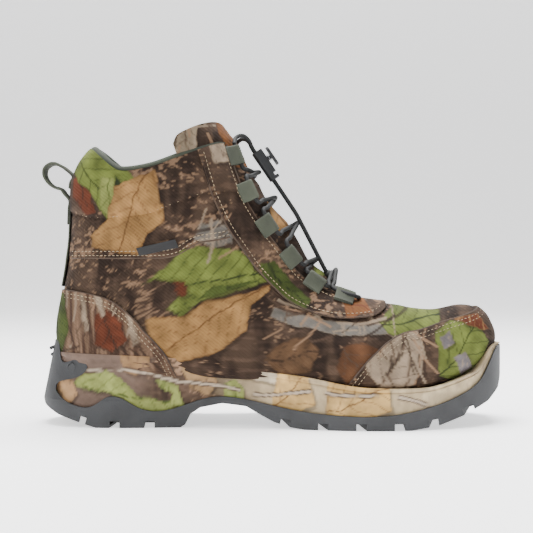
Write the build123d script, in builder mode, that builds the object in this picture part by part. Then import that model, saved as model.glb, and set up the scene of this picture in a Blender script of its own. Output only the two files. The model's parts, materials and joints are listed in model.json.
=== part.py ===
"""Insulated hunting boot (right foot), millimetres.

Frame: +X towards the toe, +Z up, lateral side on -Y, medial side on +Y.
The origin lies on the ground, on the flat middle pad of the heel tread.
"""
from build123d import *
import math
import os

import numpy as np

os.makedirs("parts", exist_ok=True)

# ---------------------------------------------------------------- driving dimensions
CORD_DIA = 2.8              # elastic lace
WEB_THICK = 1.8             # webbing of the pull loop
PULL_WIDTH = 14.0
LOCK_LEN = 22.0             # cord lock, along the cord
LOCK_WIDTH = 9.5
LOCK_BORE = 3.3
LOCK_PITCH = 4.2            # distance between the two cords in the lock
BUTTON_STROKE = 2.2
LOCK_TRAVEL = 24.0
RIM = 2.2                   # rubber wall round the midsole
GROOVE_DEPTH = 4.3          # tread grooves
FOOTBED_THICK = 5.0

# Layers of the upper, as depth below the face of the outer fabric
CAVITY = -1.35              # wall of the midsole cup
OVERLAY_OUT, OVERLAY_IN = -1.25, -0.05
FACE_OUT, FACE_IN = 0.0, 1.3
STIFF_OUT, STIFF_IN = 1.4, 2.6
PAD_OUT, PAD_IN = 1.4, 4.4
MEMBRANE_OUT, MEMBRANE_IN = 4.5, 5.0
LINING_OUT, LINING_IN = 5.1, 6.0
GUSSET_OUT, GUSSET_IN = 6.1, 6.5
TONGUE_OUT, TONGUE_IN = 6.8, 11.0
BINDING_OUT, BINDING_IN = -0.9, 6.5
FOOTBED_SIDE = 6.4

# Sections of the upper, fanned from the collar to the toe:
# (back x, back z), (front x, front z), half width, centre y, height fraction of the widest
# place, roundness below it, roundness above it
STATIONS = [
    ((-9, 190), (62, 208), 46.0, 0.0, 0.45, 2.1, 2.2),
    ((-15.5, 180), (70, 197.8), 45.0, 0.0, 0.45, 2.1, 2.2),
    ((-23, 169), (79, 186), 44.0, 0.0, 0.45, 2.1, 2.2),
    ((-27.3, 158), (87, 171), 43.0, 0.0, 0.45, 2.1, 2.2),
    ((-28.3, 142), (95, 157), 42.0, 0.0, 0.44, 2.1, 2.4),
    ((-29, 122), (103.5, 144.5), 41.5, 0.0, 0.42, 2.1, 2.4),
    ((-31.5, 102), (113, 130), 41.5, 0.0, 0.40, 2.1, 2.4),
    ((-35.5, 80), (121.5, 115), 41.0, 0.0, 0.38, 2.2, 2.4),
    ((-38, 57), (130, 102), 40.5, 0.0, 0.34, 2.3, 2.4),
    ((-31, 35), (138, 95), 40.0, 0.0, 0.32, 2.4, 2.4),
    ((0, 29), (145, 89.5), 41.0, 0.0, 0.30, 2.6, 2.4),
    ((50, 27), (153, 84.5), 43.0, 0.5, 0.30, 2.8, 2.4),
    ((95, 24), (163, 81), 46.0, 1.0, 0.30, 2.9, 2.4),
    ((132, 20.5), (174, 79.3), 49.0, 1.0, 0.30, 3.0, 2.4),
    ((163, 18.5), (187, 77.8), 50.0, 1.5, 0.30, 3.0, 2.4),
    ((190, 19.5), (200, 75.6), 49.5, 2.5, 0.30, 2.9, 2.1),
    ((212, 23.5), (214, 74.6), 45.5, 4.5, 0.32, 2.7, 2.1),
    ((229, 29.5), (229.5, 77.5), 38.0, 6.5, 0.36, 2.5, 2.2),
    ((240, 36), (239.5, 77.0), 30.0, 8.0, 0.40, 2.4, 2.3),
    ((247, 42), (247, 72), 21.5, 9.0, 0.45, 2.3, 2.3),
    ((251.3, 47), (251.5, 65), 13.5, 9.3, 0.48, 2.2, 2.2),
    ((253.5, 51), (253.8, 59), 7.0, 9.5, 0.50, 2.0, 2.0),
]

# Outline of the sole in plan: x, half width, centre y
PLAN = [
    (-47.4, 0.0, 0.0), (-45.5, 11.5, 0.0), (-40, 22.0, 0.0), (-25, 34.0, 0.0),
    (0, 39.5, 0.0), (30, 39.0, 0.5), (60, 37.5, 2.0), (90, 39.5, 2.0),
    (120, 46.5, 0.0), (150, 52.5, -1.0), (180, 54.5, 0.0), (205, 52.0, 3.0),
    (225, 46.0, 6.0), (240, 37.5, 8.0), (250, 27.5, 9.0), (256.5, 14.0, 9.5),
    (258.4, 0.0, 9.5),
]
PLAN_STRAIGHT_TOP = 17.0    # the sole wall leans inward above this height
PLAN_LEAN_TOP = 60.0
LEAN = [(-47.4, 8.5), (0, 4.5), (60, 3.0), (150, 2.0), (220, 0.5), (258.4, 0.0)]

# Side-view lines (x, z)
TREAD_LINE = [
    (-47.6, 17.5), (-44.5, 12.8), (-34, 7.7), (-19, 3.2), (-8, 0.0), (46, 0.0),
    (49, 1.9), (52, 8.4), (58.6, 12.7), (72.6, 15.4), (88, 13.6), (98, 8.0),
    (106, 4.0), (116, 1.2), (125, 0.0), (192, 0.0), (210, 2.6), (227, 8.0),
    (245, 16.0), (254, 23.7), (258, 34.0), (259, 50.7),
]
RUBBER_EDGE = [
    (253, 50.7), (245, 38.2), (239, 29.6), (228, 22.4), (204, 14.1), (178, 9.4),
    (147, 9.2), (116, 12.5), (87, 18.1), (65, 19.1), (50, 14.8), (36.3, 11.0),
    (22.5, 11.6), (14.8, 15.2), (8.4, 18.8), (-0.9, 19.5), (-6.5, 16.0), (-13, 12.9),
    (-21, 13.6), (-28.5, 16.4), (-35.8, 22.9),
]
WING_UNDER = [(-35.8, 22.9), (-35.3, 26.4), (-24.9, 30.6), (-16.1, 35.0), (-13.9, 38.4)]
WING_OVER = [(-13.9, 38.4), (-17.5, 42.6), (-24, 42.6), (-31.5, 41.2), (-33.6, 47.0), (-36, 54.4)]
FLOOR_LINE = [
    (-50, 10), (35, 10), (50, 14.5), (62, 17.6), (76, 18.2), (90, 16.6), (103, 11.0),
    (122, 8.4), (147, 8.0), (180, 8.2), (205, 11.0), (228, 17.0), (243, 25.5),
    (251, 36), (253, 47),
]
MIDSOLE_EDGE = [
    (-46, 47.0), (-20, 47.2), (33, 45.3), (58.6, 42), (90.5, 37.3), (122, 33.4),
    (153, 27.6), (172, 26.2), (197, 26.0), (212, 27.6), (232, 33.2), (241, 37.0), (252, 50),
]
COLLAR_LINE = [
    (-34, 185), (-15, 180.4), (-5, 173), (2, 167), (10, 163.8), (27, 166.2),
    (43, 171.9), (56, 177), (66, 181), (76, 184), (100, 190),
]
MID_SEAM = [(-45, 108.7), (17, 108.4), (41.6, 109.7), (57.5, 118), (77.6, 122), (130, 138)]
FRONT_EDGE = [
    (69, 197), (72.4, 186), (75.3, 176.8), (79.2, 165.9), (85.6, 149.7), (94.2, 134.6),
    (105, 119.6), (113.7, 108.8), (122.3, 98), (136.3, 89.3), (148.1, 84.6), (160, 82.6),
]
STAY_EDGE = [
    (54, 190), (57.2, 177.1), (62.5, 159.6), (67.8, 145.8), (75.3, 129.8), (83.8, 117.1),
    (94.3, 102.3), (105, 90.7), (115.6, 81), (131.5, 73.6), (147.6, 70.3), (167.2, 71.2),
    (177.6, 76.3), (181, 84),
]
TOE_CAP_EDGE = [
    (146, 15), (153, 28), (163, 41), (170, 48), (178, 55), (188.5, 60.5), (200, 62.5),
    (217, 67.5), (240, 74.5), (250, 84),
]
HEEL_EDGE = [
    (-44, 88), (-28, 87.3), (-8.6, 84.2), (3.4, 79.9), (15.3, 70.4), (23.7, 60.7),
    (32, 52), (38, 44), (44, 30),
]
LABEL_CORNERS = [(18.2, 114.5), (42.9, 120.3), (45.1, 115.0), (20.3, 109.7)]
TONGUE_BACK = [
    (41.5, 181), (48, 163), (60, 141), (75, 121), (92, 103.5), (112, 89), (135, 79), (160, 72),
]
TONGUE_TOP = [(41.5, 181), (44, 186.5), (50, 190.5), (60, 195.2), (70, 197.6), (78, 193)]

# Lace loops, tongue side of each eyestay, collar to toe (x, z)
LOOPS = [(79.2, 174.5), (88.3, 151.3), (100.9, 129.7), (116.3, 109.3), (132.0, 92.4), (151.8, 82.4)]
LOOP_HALF = 6.5
LOOP_BORE = 3.4
LOOP_WALL = 1.0
# Where the lace crosses over the tongue, on the centre line (x, z)
CROSSINGS = [(94.9, 165.4), (105.8, 148.3), (120.6, 131.6), (133.6, 107.4), (146.2, 100.2)]
# Tread grooves: x, width, lean in plan (degrees)
HEEL_GROOVES = [(-19, 4.5, 6), (3, 6.5, 4), (27.4, 6.5, -4)]
FORE_GROOVES = [(114, 6, -10), (137, 6, -8), (160.5, 6.5, -5), (184.5, 6.5, 4), (205, 6, 12), (224, 6, 20)]


# ---------------------------------------------------------------- geometry of the upper
def unit(vector):
    """The vector at unit length."""
    return vector / np.linalg.norm(vector)


def line_normals(points):
    """Unit normals of an open side-view line, to the left of its travel."""
    points = np.array(points, float)
    along = np.gradient(points, axis=0)
    normal = np.stack([-along[:, 1], along[:, 0]], axis=1)
    return normal / np.linalg.norm(normal, axis=1)[:, None]


BACKS = np.array([row[0] for row in STATIONS], float)
FRONTS = np.array([row[1] for row in STATIONS], float)
SIZES = np.array([row[2:] for row in STATIONS], float)
BACK_OUT = -line_normals(BACKS)
FRONT_OUT = line_normals(FRONTS)


def station(s, depth):
    """Back point, front point and sizes of the section at the real-valued station s."""
    i = int(min(max(math.floor(s), 0), len(STATIONS) - 2))
    t = s - i
    back = BACKS - depth * BACK_OUT
    front = FRONTS - depth * FRONT_OUT
    table = np.hstack([back, front, SIZES])
    p1, p2 = table[i], table[i + 1]
    p0 = table[i - 1] if i > 0 else 2 * p1 - p2
    p3 = table[i + 2] if i + 2 < len(table) else 2 * p2 - p1
    m1, m2 = (p2 - p0) / 2, (p3 - p1) / 2
    row = ((2 * t**3 - 3 * t**2 + 1) * p1 + (t**3 - 2 * t**2 + t) * m1
           + (3 * t**2 - 2 * t**3) * p2 + (t**3 - t**2) * m2)
    return row[0:2], row[2:4], max(row[4] - depth, 1.2), row[5], row[6], row[7], row[8]


def section_point(s, angle, depth):
    """Point of the section at station s: angle 0 medial, 90 front, 180 lateral, 270 back."""
    back, front, half, centre, widest, low, high = station(s, depth)
    chord = front - back
    sine, cosine = math.sin(math.radians(angle)), math.cos(math.radians(angle))
    power = high if sine >= 0 else low
    along = widest + (1 - widest if sine >= 0 else widest) * math.copysign(abs(sine)**(2 / power), sine)
    across = math.copysign(abs(cosine)**(2 / power), cosine)
    spot = back + chord * along
    return np.array([spot[0], centre + half * across, spot[1]])


def locate(x, z, depth):
    """Station and fraction of the chord for a side-view place."""
    def turn(s):
        back, front = station(s, depth)[:2]
        return (front[0] - back[0]) * (z - back[1]) - (front[1] - back[1]) * (x - back[0])
    low, high = 0.0, len(STATIONS) - 1.0
    for _ in range(40):
        middle = (low + high) / 2
        if turn(middle) < 0:
            low = middle
        else:
            high = middle
    s = (low + high) / 2
    back, front = station(s, depth)[:2]
    chord = front - back
    return s, float(np.dot(np.array([x, z]) - back, chord) / np.dot(chord, chord))


def on_upper(x, z, side, depth):
    """Point of the upper at a side-view place; side is -1 lateral, 1 medial."""
    s, fraction = locate(x, z, depth)
    _, _, half, centre, widest, low, high = station(s, depth)
    if fraction >= widest:
        reach, power = (fraction - widest) / (1 - widest), high
    else:
        reach, power = (widest - fraction) / widest, low
    across = (1 - min(abs(reach), 0.999)**power)**(1 / power)
    return np.array([x, centre + side * half * across, z])


def upper_normal(x, z, side, depth):
    """Outward unit normal of the upper at a side-view place."""
    step = 0.5
    along_x = on_upper(x + step, z, side, depth) - on_upper(x - step, z, side, depth)
    along_z = on_upper(x, z + step, side, depth) - on_upper(x, z - step, side, depth)
    normal = unit(np.cross(along_x, along_z))
    return normal if normal[1] * side > 0 else -normal


FLAT_ANGLES = np.arange(0, 360, 22.5)
FLAT_ROWS = [0, 2, 4, 6, 7, 8, 9, 10, 11, 12, 13, 14, 15, 16, 17, 18, 19, 20, 21]


def upper_solid(depth):
    """Whole form of the upper in flat facets, moved inward by depth."""
    with BuildPart() as form:
        for index in FLAT_ROWS:
            back, front = station(index, depth)[:2]
            chord = unit(front - back)
            plane = Plane((back[0], 0, back[1]), x_dir=(0, 1, 0), z_dir=(chord[1], 0, -chord[0]))
            ring = [section_point(index, angle, depth) for angle in FLAT_ANGLES]
            ring_2d = [(p[1], float(np.dot((p[[0, 2]] - back), chord))) for p in ring]
            with BuildSketch(plane):
                with BuildLine():
                    Polyline(*ring_2d, close=True)
                make_face()
        loft(ruled=True, clean=False)
    return form.part


# ---------------------------------------------------------------- geometry of the sole
def plan_outline(inset, lean):
    """Closed plan outline of the sole, moved inward by inset plus lean times the wall lean."""
    lateral = [(x, centre - half) for x, half, centre in PLAN]
    medial = [(x, centre + half) for x, half, centre in PLAN[-2:0:-1]]
    outline = np.array(lateral + medial, float)
    along = np.roll(outline, -1, axis=0) - np.roll(outline, 1, axis=0)
    inward = np.stack([-along[:, 1], along[:, 0]], axis=1)
    inward /= np.linalg.norm(inward, axis=1)[:, None]
    knots, values = zip(*LEAN)
    amount = inset + lean * np.interp(outline[:, 0], knots, values)
    return [tuple(point) for point in outline + inward * amount[:, None]]


PLAN_FACETS = 44


def plan_face(inset, lean, height, flat=False):
    """Face of the plan outline at one height, smooth or in flat facets."""
    with BuildSketch(Plane.XY.offset(height)) as face:
        with BuildLine():
            Spline(*plan_outline(inset, lean), periodic=True)
        make_face()
    if not flat:
        return face.sketch
    edge = face.sketch.edges()[0]
    corners = [edge @ (step / PLAN_FACETS) for step in range(PLAN_FACETS)]
    with BuildSketch(Plane.XY.offset(height)) as flat_face:
        with BuildLine():
            Polyline(*[(corner.X, corner.Y) for corner in corners], close=True)
        make_face()
    return flat_face.sketch


def sole_block(inset, flat=False):
    """Upright block of the sole outline whose wall leans inward above its straight part."""
    base = plan_face(inset, 0, -2, flat)
    middle = plan_face(inset, 0, PLAN_STRAIGHT_TOP, flat)
    top = plan_face(inset, 1, PLAN_LEAN_TOP, flat)
    with BuildPart() as block:
        loft(sections=[base, middle], ruled=True)
        loft(sections=[middle, top], ruled=True)
    return block.part


def sole_wall_y(x, z, side):
    """Y of the outer sole wall at a side-view place."""
    xs = [row[0] for row in PLAN]
    half = np.interp(x, xs, [row[1] for row in PLAN])
    centre = np.interp(x, xs, [row[2] for row in PLAN])
    rise = max(z - PLAN_STRAIGHT_TOP, 0) / (PLAN_LEAN_TOP - PLAN_STRAIGHT_TOP)
    knots, values = zip(*LEAN)
    return centre + side * (half - rise * np.interp(x, knots, values))


def side_prism(*runs):
    """Prism across the whole boot; each run is ('curve' or 'line', points), closed by lines."""
    with BuildPart() as prism:
        with BuildSketch(Plane.XZ):
            with BuildLine():
                for index, (kind, points) in enumerate(runs):
                    if kind == "curve":
                        Spline(*points)
                    else:
                        Polyline(*points)
                    following = runs[(index + 1) % len(runs)][1]
                    if math.dist(points[-1], following[0]) > 0.01:
                        Line(points[-1], following[0])
            make_face()
        extrude(amount=90, both=True)
    return prism.part


def shell(outer_depth, inner_depth):
    """Layer of the upper between two depths."""
    with BuildPart() as layer:
        add(FORMS[outer_depth])
        add(FORMS[inner_depth], mode=Mode.SUBTRACT)
    return layer.part


def keep(*shapes):
    """Keep what of the current part lies in each shape."""
    for shape in shapes:
        add(shape, mode=Mode.INTERSECT)


def cut(*shapes):
    """Remove each shape from the current part."""
    for shape in shapes:
        add(shape, mode=Mode.SUBTRACT)


def half_space(side):
    """Block of one side of the boot: -1 lateral, 1 medial."""
    with BuildPart() as block:
        with Locations((100, side * 50.03, 100)):
            Box(400, 100, 260)
    return block.part


def finish(part, name):
    """Label a finished piece and write it."""
    part.label = name
    export_step(part, f"parts/{name}.step")


DEPTHS = [
    CAVITY, OVERLAY_OUT, OVERLAY_IN, FACE_OUT, FACE_IN, STIFF_OUT, STIFF_IN, STIFF_IN + 0.1, PAD_IN,
    MEMBRANE_OUT, MEMBRANE_IN, LINING_OUT, LINING_IN, GUSSET_OUT, GUSSET_IN, FOOTBED_SIDE,
    TONGUE_OUT, TONGUE_IN, BINDING_OUT, BINDING_IN,
]
FORMS = {depth: upper_solid(depth) for depth in sorted(set(DEPTHS))}

# ---------------------------------------------------------------- shared cutting shapes
LOWERED = [(x, z - 0.1) for x, z in COLLAR_LINE]
LAYER_TOP = side_prism(("curve", LOWERED), ("line", [(300, 190), (300, -20), (-90, -20), (-90, 185)]))
THROAT = side_prism(("curve", FRONT_EDGE), ("line", [(178, 100), (150, 215), (62, 215)]))
RAISED = [(x + 0.9, z + 0.8) for x, z in FRONT_EDGE]
THROAT_INNER = side_prism(("curve", RAISED), ("line", [(178, 100), (150, 215), (62, 215)]))
PAD_THROAT = side_prism(
    ("curve", [(x - 1.0, z - 1.0) for x, z in FRONT_EDGE]), ("line", [(178, 100), (150, 215), (61, 215)]))
ABOVE_SEAM = side_prism(("curve", MID_SEAM), ("line", [(240, 240), (-90, 240)]))
LATERAL, MEDIAL = half_space(-1), half_space(1)
SIDES = {"lateral": (-1, LATERAL), "medial": (1, MEDIAL)}
BOARD_INSET = 15.0


def plan_prism(inset, top):
    """Upright prism of the sole outline from the ground to a height."""
    face = plan_face(inset, 0, 0, flat=True)
    with BuildPart() as prism:
        add(face)
        extrude(amount=top)
    return prism.part


# ---------------------------------------------------------------- sole unit
def tread_height(x):
    """Height of the tread at x."""
    xs, zs = zip(*TREAD_LINE)
    return float(np.interp(x, xs, zs))


RUBBER_REGION = side_prism(
    ("line", TREAD_LINE), ("line", [(259, 50.7), (253, 50.7)]), ("curve", RUBBER_EDGE),
    ("curve", WING_UNDER), ("curve", WING_OVER), ("line", [(-36, 54.4), (-60, 54.4), (-60, 17.5)]))
ABOVE_FLOOR = side_prism(("curve", FLOOR_LINE), ("line", [(300, 60), (300, 90), (-90, 90), (-90, 10)]))
GROOVES = HEEL_GROOVES + FORE_GROOVES

# Side grooves between the lugs, a channel round the flat pad of the heel, two channels along
# the forefoot, and middle grooves half a pitch on
with BuildPart() as tread_cuts:
    for x, width, lean in GROOVES:
        slope = math.degrees(math.atan2(tread_height(x + 6) - tread_height(x - 6), 12))
        reach = 14 if x < 60 else 8 + 0.04 * x
        for side in (-1, 1):
            with Locations(Location((x, side * (reach + 40), tread_height(x)), (0, -slope, side * lean))):
                Box(width, 80, 2 * GROOVE_DEPTH)
    with Locations((18, 14, 0), (18, -14, 0)):
        Box(60, 3, 6)
    with Locations((148, 15, 0), (148, -13, 0)):
        Box(92, 3.2, 6)
    with Locations((125, 1, 0), (148.5, 1, 0), (172.5, 1, 0)):
        Box(5, 24.9, 6)

with BuildPart() as sole_inside:
    add(sole_block(RIM, flat=True))
    keep(ABOVE_FLOOR)

with BuildPart() as outsole:
    add(sole_block(0))
    keep(RUBBER_REGION)
    cut(sole_inside.part, FORMS[CAVITY])
    cut(tread_cuts.part)
    # Grip ridges at the back of the heel and a plain ring on each wing
    for height in (40.5, 44.8, 49.1):
        with Locations(Location((-41.9 - (height - 49.1) * 0.19, 0, height), (90, 0, 0))):
            Cylinder(1.1, 17)
    for side in (-1, 1):
        face_y = sole_wall_y(-24.1, 37.4, side)
        with Locations(Location((-24.1, face_y - side * 0.3, 37.4), (90, 0, 0))):
            Cylinder(2.8, 2.2)

MIDSOLE_REGION = side_prism(
    ("curve", MIDSOLE_EDGE), ("line", [(300, 50), (300, -10), (-90, -10), (-90, 47)]))
SHANK_LINE = [(36, 23.4), (112, 18.6)]
with BuildPart() as shank:
    with BuildSketch(Plane.XZ):
        with BuildLine():
            Polyline(*SHANK_LINE, (112, 19.8), (36, 24.6), close=True)
        make_face()
    extrude(amount=8, both=True)

with BuildPart() as midsole:
    add(sole_block(RIM + 0.15, flat=True))
    keep(MIDSOLE_REGION, ABOVE_FLOOR)
    cut(FORMS[CAVITY], shank.part)

# ---------------------------------------------------------------- upper, outside in
FACE = shell(FACE_OUT, FACE_IN)
OVERLAY = shell(OVERLAY_OUT, OVERLAY_IN)
with BuildPart() as FACE_CUT:
    add(FACE)
    keep(LAYER_TOP)
    cut(THROAT)

with BuildPart() as lasting_board:
    add(FACE_CUT.part)
    keep(plan_prism(BOARD_INSET + 0.3, 45))

with BuildPart() as vamp:
    add(FACE_CUT.part)
    cut(ABOVE_SEAM, plan_prism(BOARD_INSET, 45))

shafts = {}
for word, (side, half) in SIDES.items():
    with BuildPart() as shaft:
        add(FACE_CUT.part)
        keep(ABOVE_SEAM, half)
    shafts[word] = shaft

CAP_REGION = side_prism(("curve", TOE_CAP_EDGE), ("line", [(300, 84), (300, 15)]))
with BuildPart() as toe_cap:
    add(OVERLAY)
    keep(CAP_REGION)
    cut(plan_prism(BOARD_INSET, 45))

HEEL_REGION = side_prism(("curve", HEEL_EDGE), ("line", [(44, 10), (-60, 10), (-60, 88)]))
with BuildPart() as heel_overlay:
    add(OVERLAY)
    keep(HEEL_REGION)
    cut(plan_prism(BOARD_INSET, 45))

STAY_REGION = side_prism(("curve", STAY_EDGE), ("line", [(181, 120), (120, 215), (54, 215)]))
stays = {}
for word, (side, half) in SIDES.items():
    with BuildPart() as stay:
        add(OVERLAY)
        keep(STAY_REGION, LAYER_TOP, half)
        cut(THROAT)
    stays[word] = stay

with BuildPart() as back_strip:
    add(OVERLAY)
    keep(LAYER_TOP)
    with Locations((-30, 0, 137)):
        Box(50, 15, 98, mode=Mode.INTERSECT)

LABEL_REGION = side_prism(("line", LABEL_CORNERS))
with BuildPart() as label:
    add(OVERLAY)
    keep(LABEL_REGION, LATERAL)

with BuildPart() as collar_binding:
    add(shell(BINDING_OUT, BINDING_IN))
    keep(side_prism(("curve", COLLAR_LINE), ("line", [(x, z + 2.6) for x, z in COLLAR_LINE[::-1]])))
    cut(THROAT)

PUFF_REGION = side_prism(("line", [(196, 10), (206, 84), (300, 84), (300, 10)]))
COUNTER_REGION = side_prism(("line", [(-60, 20), (46, 20), (30, 48), (5, 78), (-20, 92), (-60, 94)]))
STIFFENER = shell(STIFF_OUT, STIFF_IN)
with BuildPart() as toe_puff:
    add(STIFFENER)
    keep(PUFF_REGION)
    cut(plan_prism(BOARD_INSET, 45))
with BuildPart() as heel_counter:
    add(STIFFENER)
    keep(COUNTER_REGION)
    cut(plan_prism(BOARD_INSET, 45))

FOAM_REGION = side_prism(
    ("curve", [(x, z - 30) for x, z in COLLAR_LINE]), ("line", [(150, 240), (-90, 240)]))
PAD = shell(PAD_OUT, PAD_IN)
with BuildPart() as PAD_CUT:
    add(PAD)
    keep(LAYER_TOP)
    cut(PAD_THROAT)
with BuildPart() as collar_foam:
    add(PAD_CUT.part)
    keep(FOAM_REGION)
BESIDE_STIFFENER = shell(PAD_OUT, STIFF_IN + 0.1)
with BuildPart() as insulation:
    add(PAD_CUT.part)
    cut(FOAM_REGION)
    for region in (PUFF_REGION, COUNTER_REGION):
        with BuildPart(mode=Mode.PRIVATE) as room:
            add(BESIDE_STIFFENER)
            keep(region)
        cut(room.part)

with BuildPart() as waterproof_bootie:
    add(shell(MEMBRANE_OUT, MEMBRANE_IN))
    keep(LAYER_TOP)
    cut(PAD_THROAT)

with BuildPart() as lining:
    add(shell(LINING_OUT, LINING_IN))
    keep(LAYER_TOP)
    cut(PAD_THROAT)

GUSSET_REGION = side_prism(
    ("curve", [(x - 2.5, z - 2.5) for x, z in FRONT_EDGE]),
    ("line", [(x - 11, z - 9) for x, z in FRONT_EDGE[::-1]]))
gussets = {}
for word, (side, half) in SIDES.items():
    with BuildPart() as gusset:
        add(shell(GUSSET_OUT, GUSSET_IN))
        keep(GUSSET_REGION, LAYER_TOP, half)
    gussets[word] = gusset

FOOTBED_TOP = [(x, z + FOOTBED_SIDE + FOOTBED_THICK) for (x, z), *_ in STATIONS[10:18]]
with BuildPart() as footbed:
    add(FORMS[FOOTBED_SIDE])
    keep(side_prism(
        ("curve", [(-40, 43.5)] + FOOTBED_TOP), ("line", [(240, 10), (-50, 10), (-50, 43.5)])))

TONGUE_REGION = side_prism(("curve", TONGUE_BACK), ("line", [(150, 120), (120, 215)]), ("curve", TONGUE_TOP[::-1]))
with BuildPart() as tongue:
    add(shell(TONGUE_OUT, TONGUE_IN))
    with BuildPart(mode=Mode.PRIVATE) as centre:
        add(shell(FACE_OUT, TONGUE_IN))
        keep(THROAT_INNER)
    add(centre.part)
    keep(TONGUE_REGION)

# ---------------------------------------------------------------- lacing
def loop_frame(index, side):
    """Seat, axis, outward normal and tongue-side direction of one lace loop."""
    x, z = LOOPS[index]
    seat = on_upper(x, z, side, OVERLAY_OUT)
    before = LOOPS[max(index - 1, 0)]
    after = LOOPS[min(index + 1, len(LOOPS) - 1)]
    start, end = on_upper(*before, side, OVERLAY_OUT), on_upper(*after, side, OVERLAY_OUT)
    normal = upper_normal(x, z, side, OVERLAY_OUT)
    axis = end - start
    axis = unit(axis - normal * np.dot(axis, normal))
    inward = unit(np.cross(normal, axis))
    inward = inward if inward[1] * side < 0 else -inward
    return seat, axis, normal, inward


BORE_IN, BORE_UP = 2.0, 2.9     # the cord's place in a loop: towards the tongue, above the seat
loops = {}
for word, (side, _) in SIDES.items():
    for index in range(len(LOOPS)):
        seat, axis, normal, inward = loop_frame(index, side)
        base = seat + normal * 0.15
        plane = Plane(tuple(base), x_dir=tuple(inward), z_dir=tuple(np.cross(inward, normal)))
        radius = LOOP_BORE / 2 + LOOP_WALL
        with BuildPart() as loop:
            with BuildSketch(plane):
                with BuildLine():
                    Polyline((-5.5, 0), (BORE_IN, 0), (BORE_IN, BORE_UP + radius),
                             (-5.5, 1.2), close=True)
                make_face()
                with Locations((BORE_IN, BORE_UP)):
                    Circle(radius)
                    Circle(LOOP_BORE / 2, mode=Mode.SUBTRACT)
            extrude(amount=LOOP_HALF, both=True)
        loops[f"lace_loop_{word}_{index + 1}"] = loop


def loop_end(index, side, sign, extra):
    """Point on a loop's bore axis, outside its upper (-1) or lower (1) end."""
    seat, axis, normal, inward = loop_frame(index, side)
    middle = seat + normal * (0.15 + BORE_UP) + inward * BORE_IN
    return middle + axis * sign * (LOOP_HALF + extra)


def crossing(index, lift):
    """Point where one strand crosses the other, lifted off the tongue."""
    x, z = CROSSINGS[index]
    outward = unit(np.array([0.84, 0.54]))
    return np.array([x + outward[0] * lift, 0, z + outward[1] * lift])


def tube(points, radius):
    """Round bar along straight runs with ball corners."""
    with BuildPart() as bar:
        for start, end in zip(points, points[1:]):
            span = Vector(*end) - Vector(*start)
            with BuildSketch(Plane(tuple(start), z_dir=span)):
                Circle(radius)
            extrude(amount=span.length)
        for point in points[1:-1]:
            with Locations(tuple(point)):
                Sphere(radius)
    return bar.part


CORD_R = CORD_DIA / 2
TAIL_X, TAIL_Z = 93.4, 179.1    # where both tails enter the lock
TAIL_BEND = (120.3, 139.5)
KNOT = (141.2, 99.0)
# Each tail arches from its top loop over to the cord lock: x, distance from the centre line, z
TAIL_ARCH = [(79.6, 17.6, 187.0), (84.8, 11.5, 190.3), (89.4, 4.9, 187.2), (90.9, 2.1, 182.8)]
LOCK_DIR = unit(np.array([TAIL_BEND[0] - TAIL_X, TAIL_BEND[1] - TAIL_Z]))


def height_over(point):
    """Height of a point above the face of the outer fabric."""
    low, high = -14.0, 6.0
    for _ in range(30):
        depth = (low + high) / 2
        s, fraction = locate(point[0], point[2], depth)
        _, _, half, centre, widest, lower_power, upper_power = station(s, depth)
        if fraction >= widest:
            reach, power = (fraction - widest) / (1 - widest), upper_power
        else:
            reach, power = (widest - fraction) / widest, lower_power
        if (abs(point[1] - centre) / half)**power + reach**power < 1:
            low = depth
        else:
            high = depth
    return -(low + high) / 2


LACE_HEIGHT = 1.9               # least height of the cord's axis over the tongue


def over_tongue(start, end):
    """Points between two places of the lace that bow over the tongue."""
    middle = []
    for part in (0.3, 0.6):
        point = start + (end - start) * part
        outward = unit(np.array([0.75, 0.45 * np.sign(point[1]), 0.48]))
        for _ in range(3):
            point = point + outward * max(LACE_HEIGHT - height_over(point), 0)
        middle.append(point)
    return middle


def strand(start_side):
    """Zigzag of one strand from its top loop to the bottom loop."""
    side, route = start_side, []
    for index in range(len(LOOPS)):
        upper = loop_end(index, side, -1, 1.2 if index == 0 else 1.8)
        lower = loop_end(index, side, 1, 1.8)
        if index > 0:
            route += over_tongue(upper, route[-1])[::-1]
        route += [upper, lower]
        if index < len(CROSSINGS):
            over = crossing(index, 1.6 * (1 if side * (-1)**index > 0 else -1))
            route += over_tongue(lower, over) + [over]
            side = -side
    return route


LATERAL_STRAND = strand(-1)
MEDIAL_STRAND = strand(1)
LACE_ROUTE = LATERAL_STRAND + MEDIAL_STRAND[::-1]
with BuildPart() as lace:
    add(tube(LACE_ROUTE, CORD_R))

tails = {}
for word, (side, _) in SIDES.items():
    gap = LOCK_PITCH / 2
    route = [loop_end(0, side, -1, 1.25)]
    for x, y, z in TAIL_ARCH + [(TAIL_BEND[0], gap, TAIL_BEND[1]), (KNOT[0], CORD_R + 0.05, KNOT[1])]:
        route.append(np.array([x, side * y, z]))
    radii = []
    for before, corner, after in zip(route, route[1:], route[2:]):
        turn = (Vector(*(corner - before))).get_angle(Vector(*(after - corner)))
        shorter = min(np.linalg.norm(corner - before), np.linalg.norm(after - corner))
        radii.append(float(0.45 * shorter / math.tan(math.radians(turn) / 2)))
    print("tail", word, "radii", [round(radius, 1) for radius in radii])
    with BuildPart() as tail:
        with BuildLine() as line:
            FilletPolyline(*[tuple(point) for point in route], radius=radii)
        with BuildSketch(Plane(tuple(route[0]), z_dir=tuple(route[1] - route[0]))):
            Circle(CORD_R)
        sweep(path=line.line)
    length = sum(edge.length for edge in line.edges())
    print("volume", round(tail.part.volume, 1), "section by length",
          round(math.pi * CORD_R**2 * length, 1), "length", round(length, 1))
    tails[word] = tail

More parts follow.
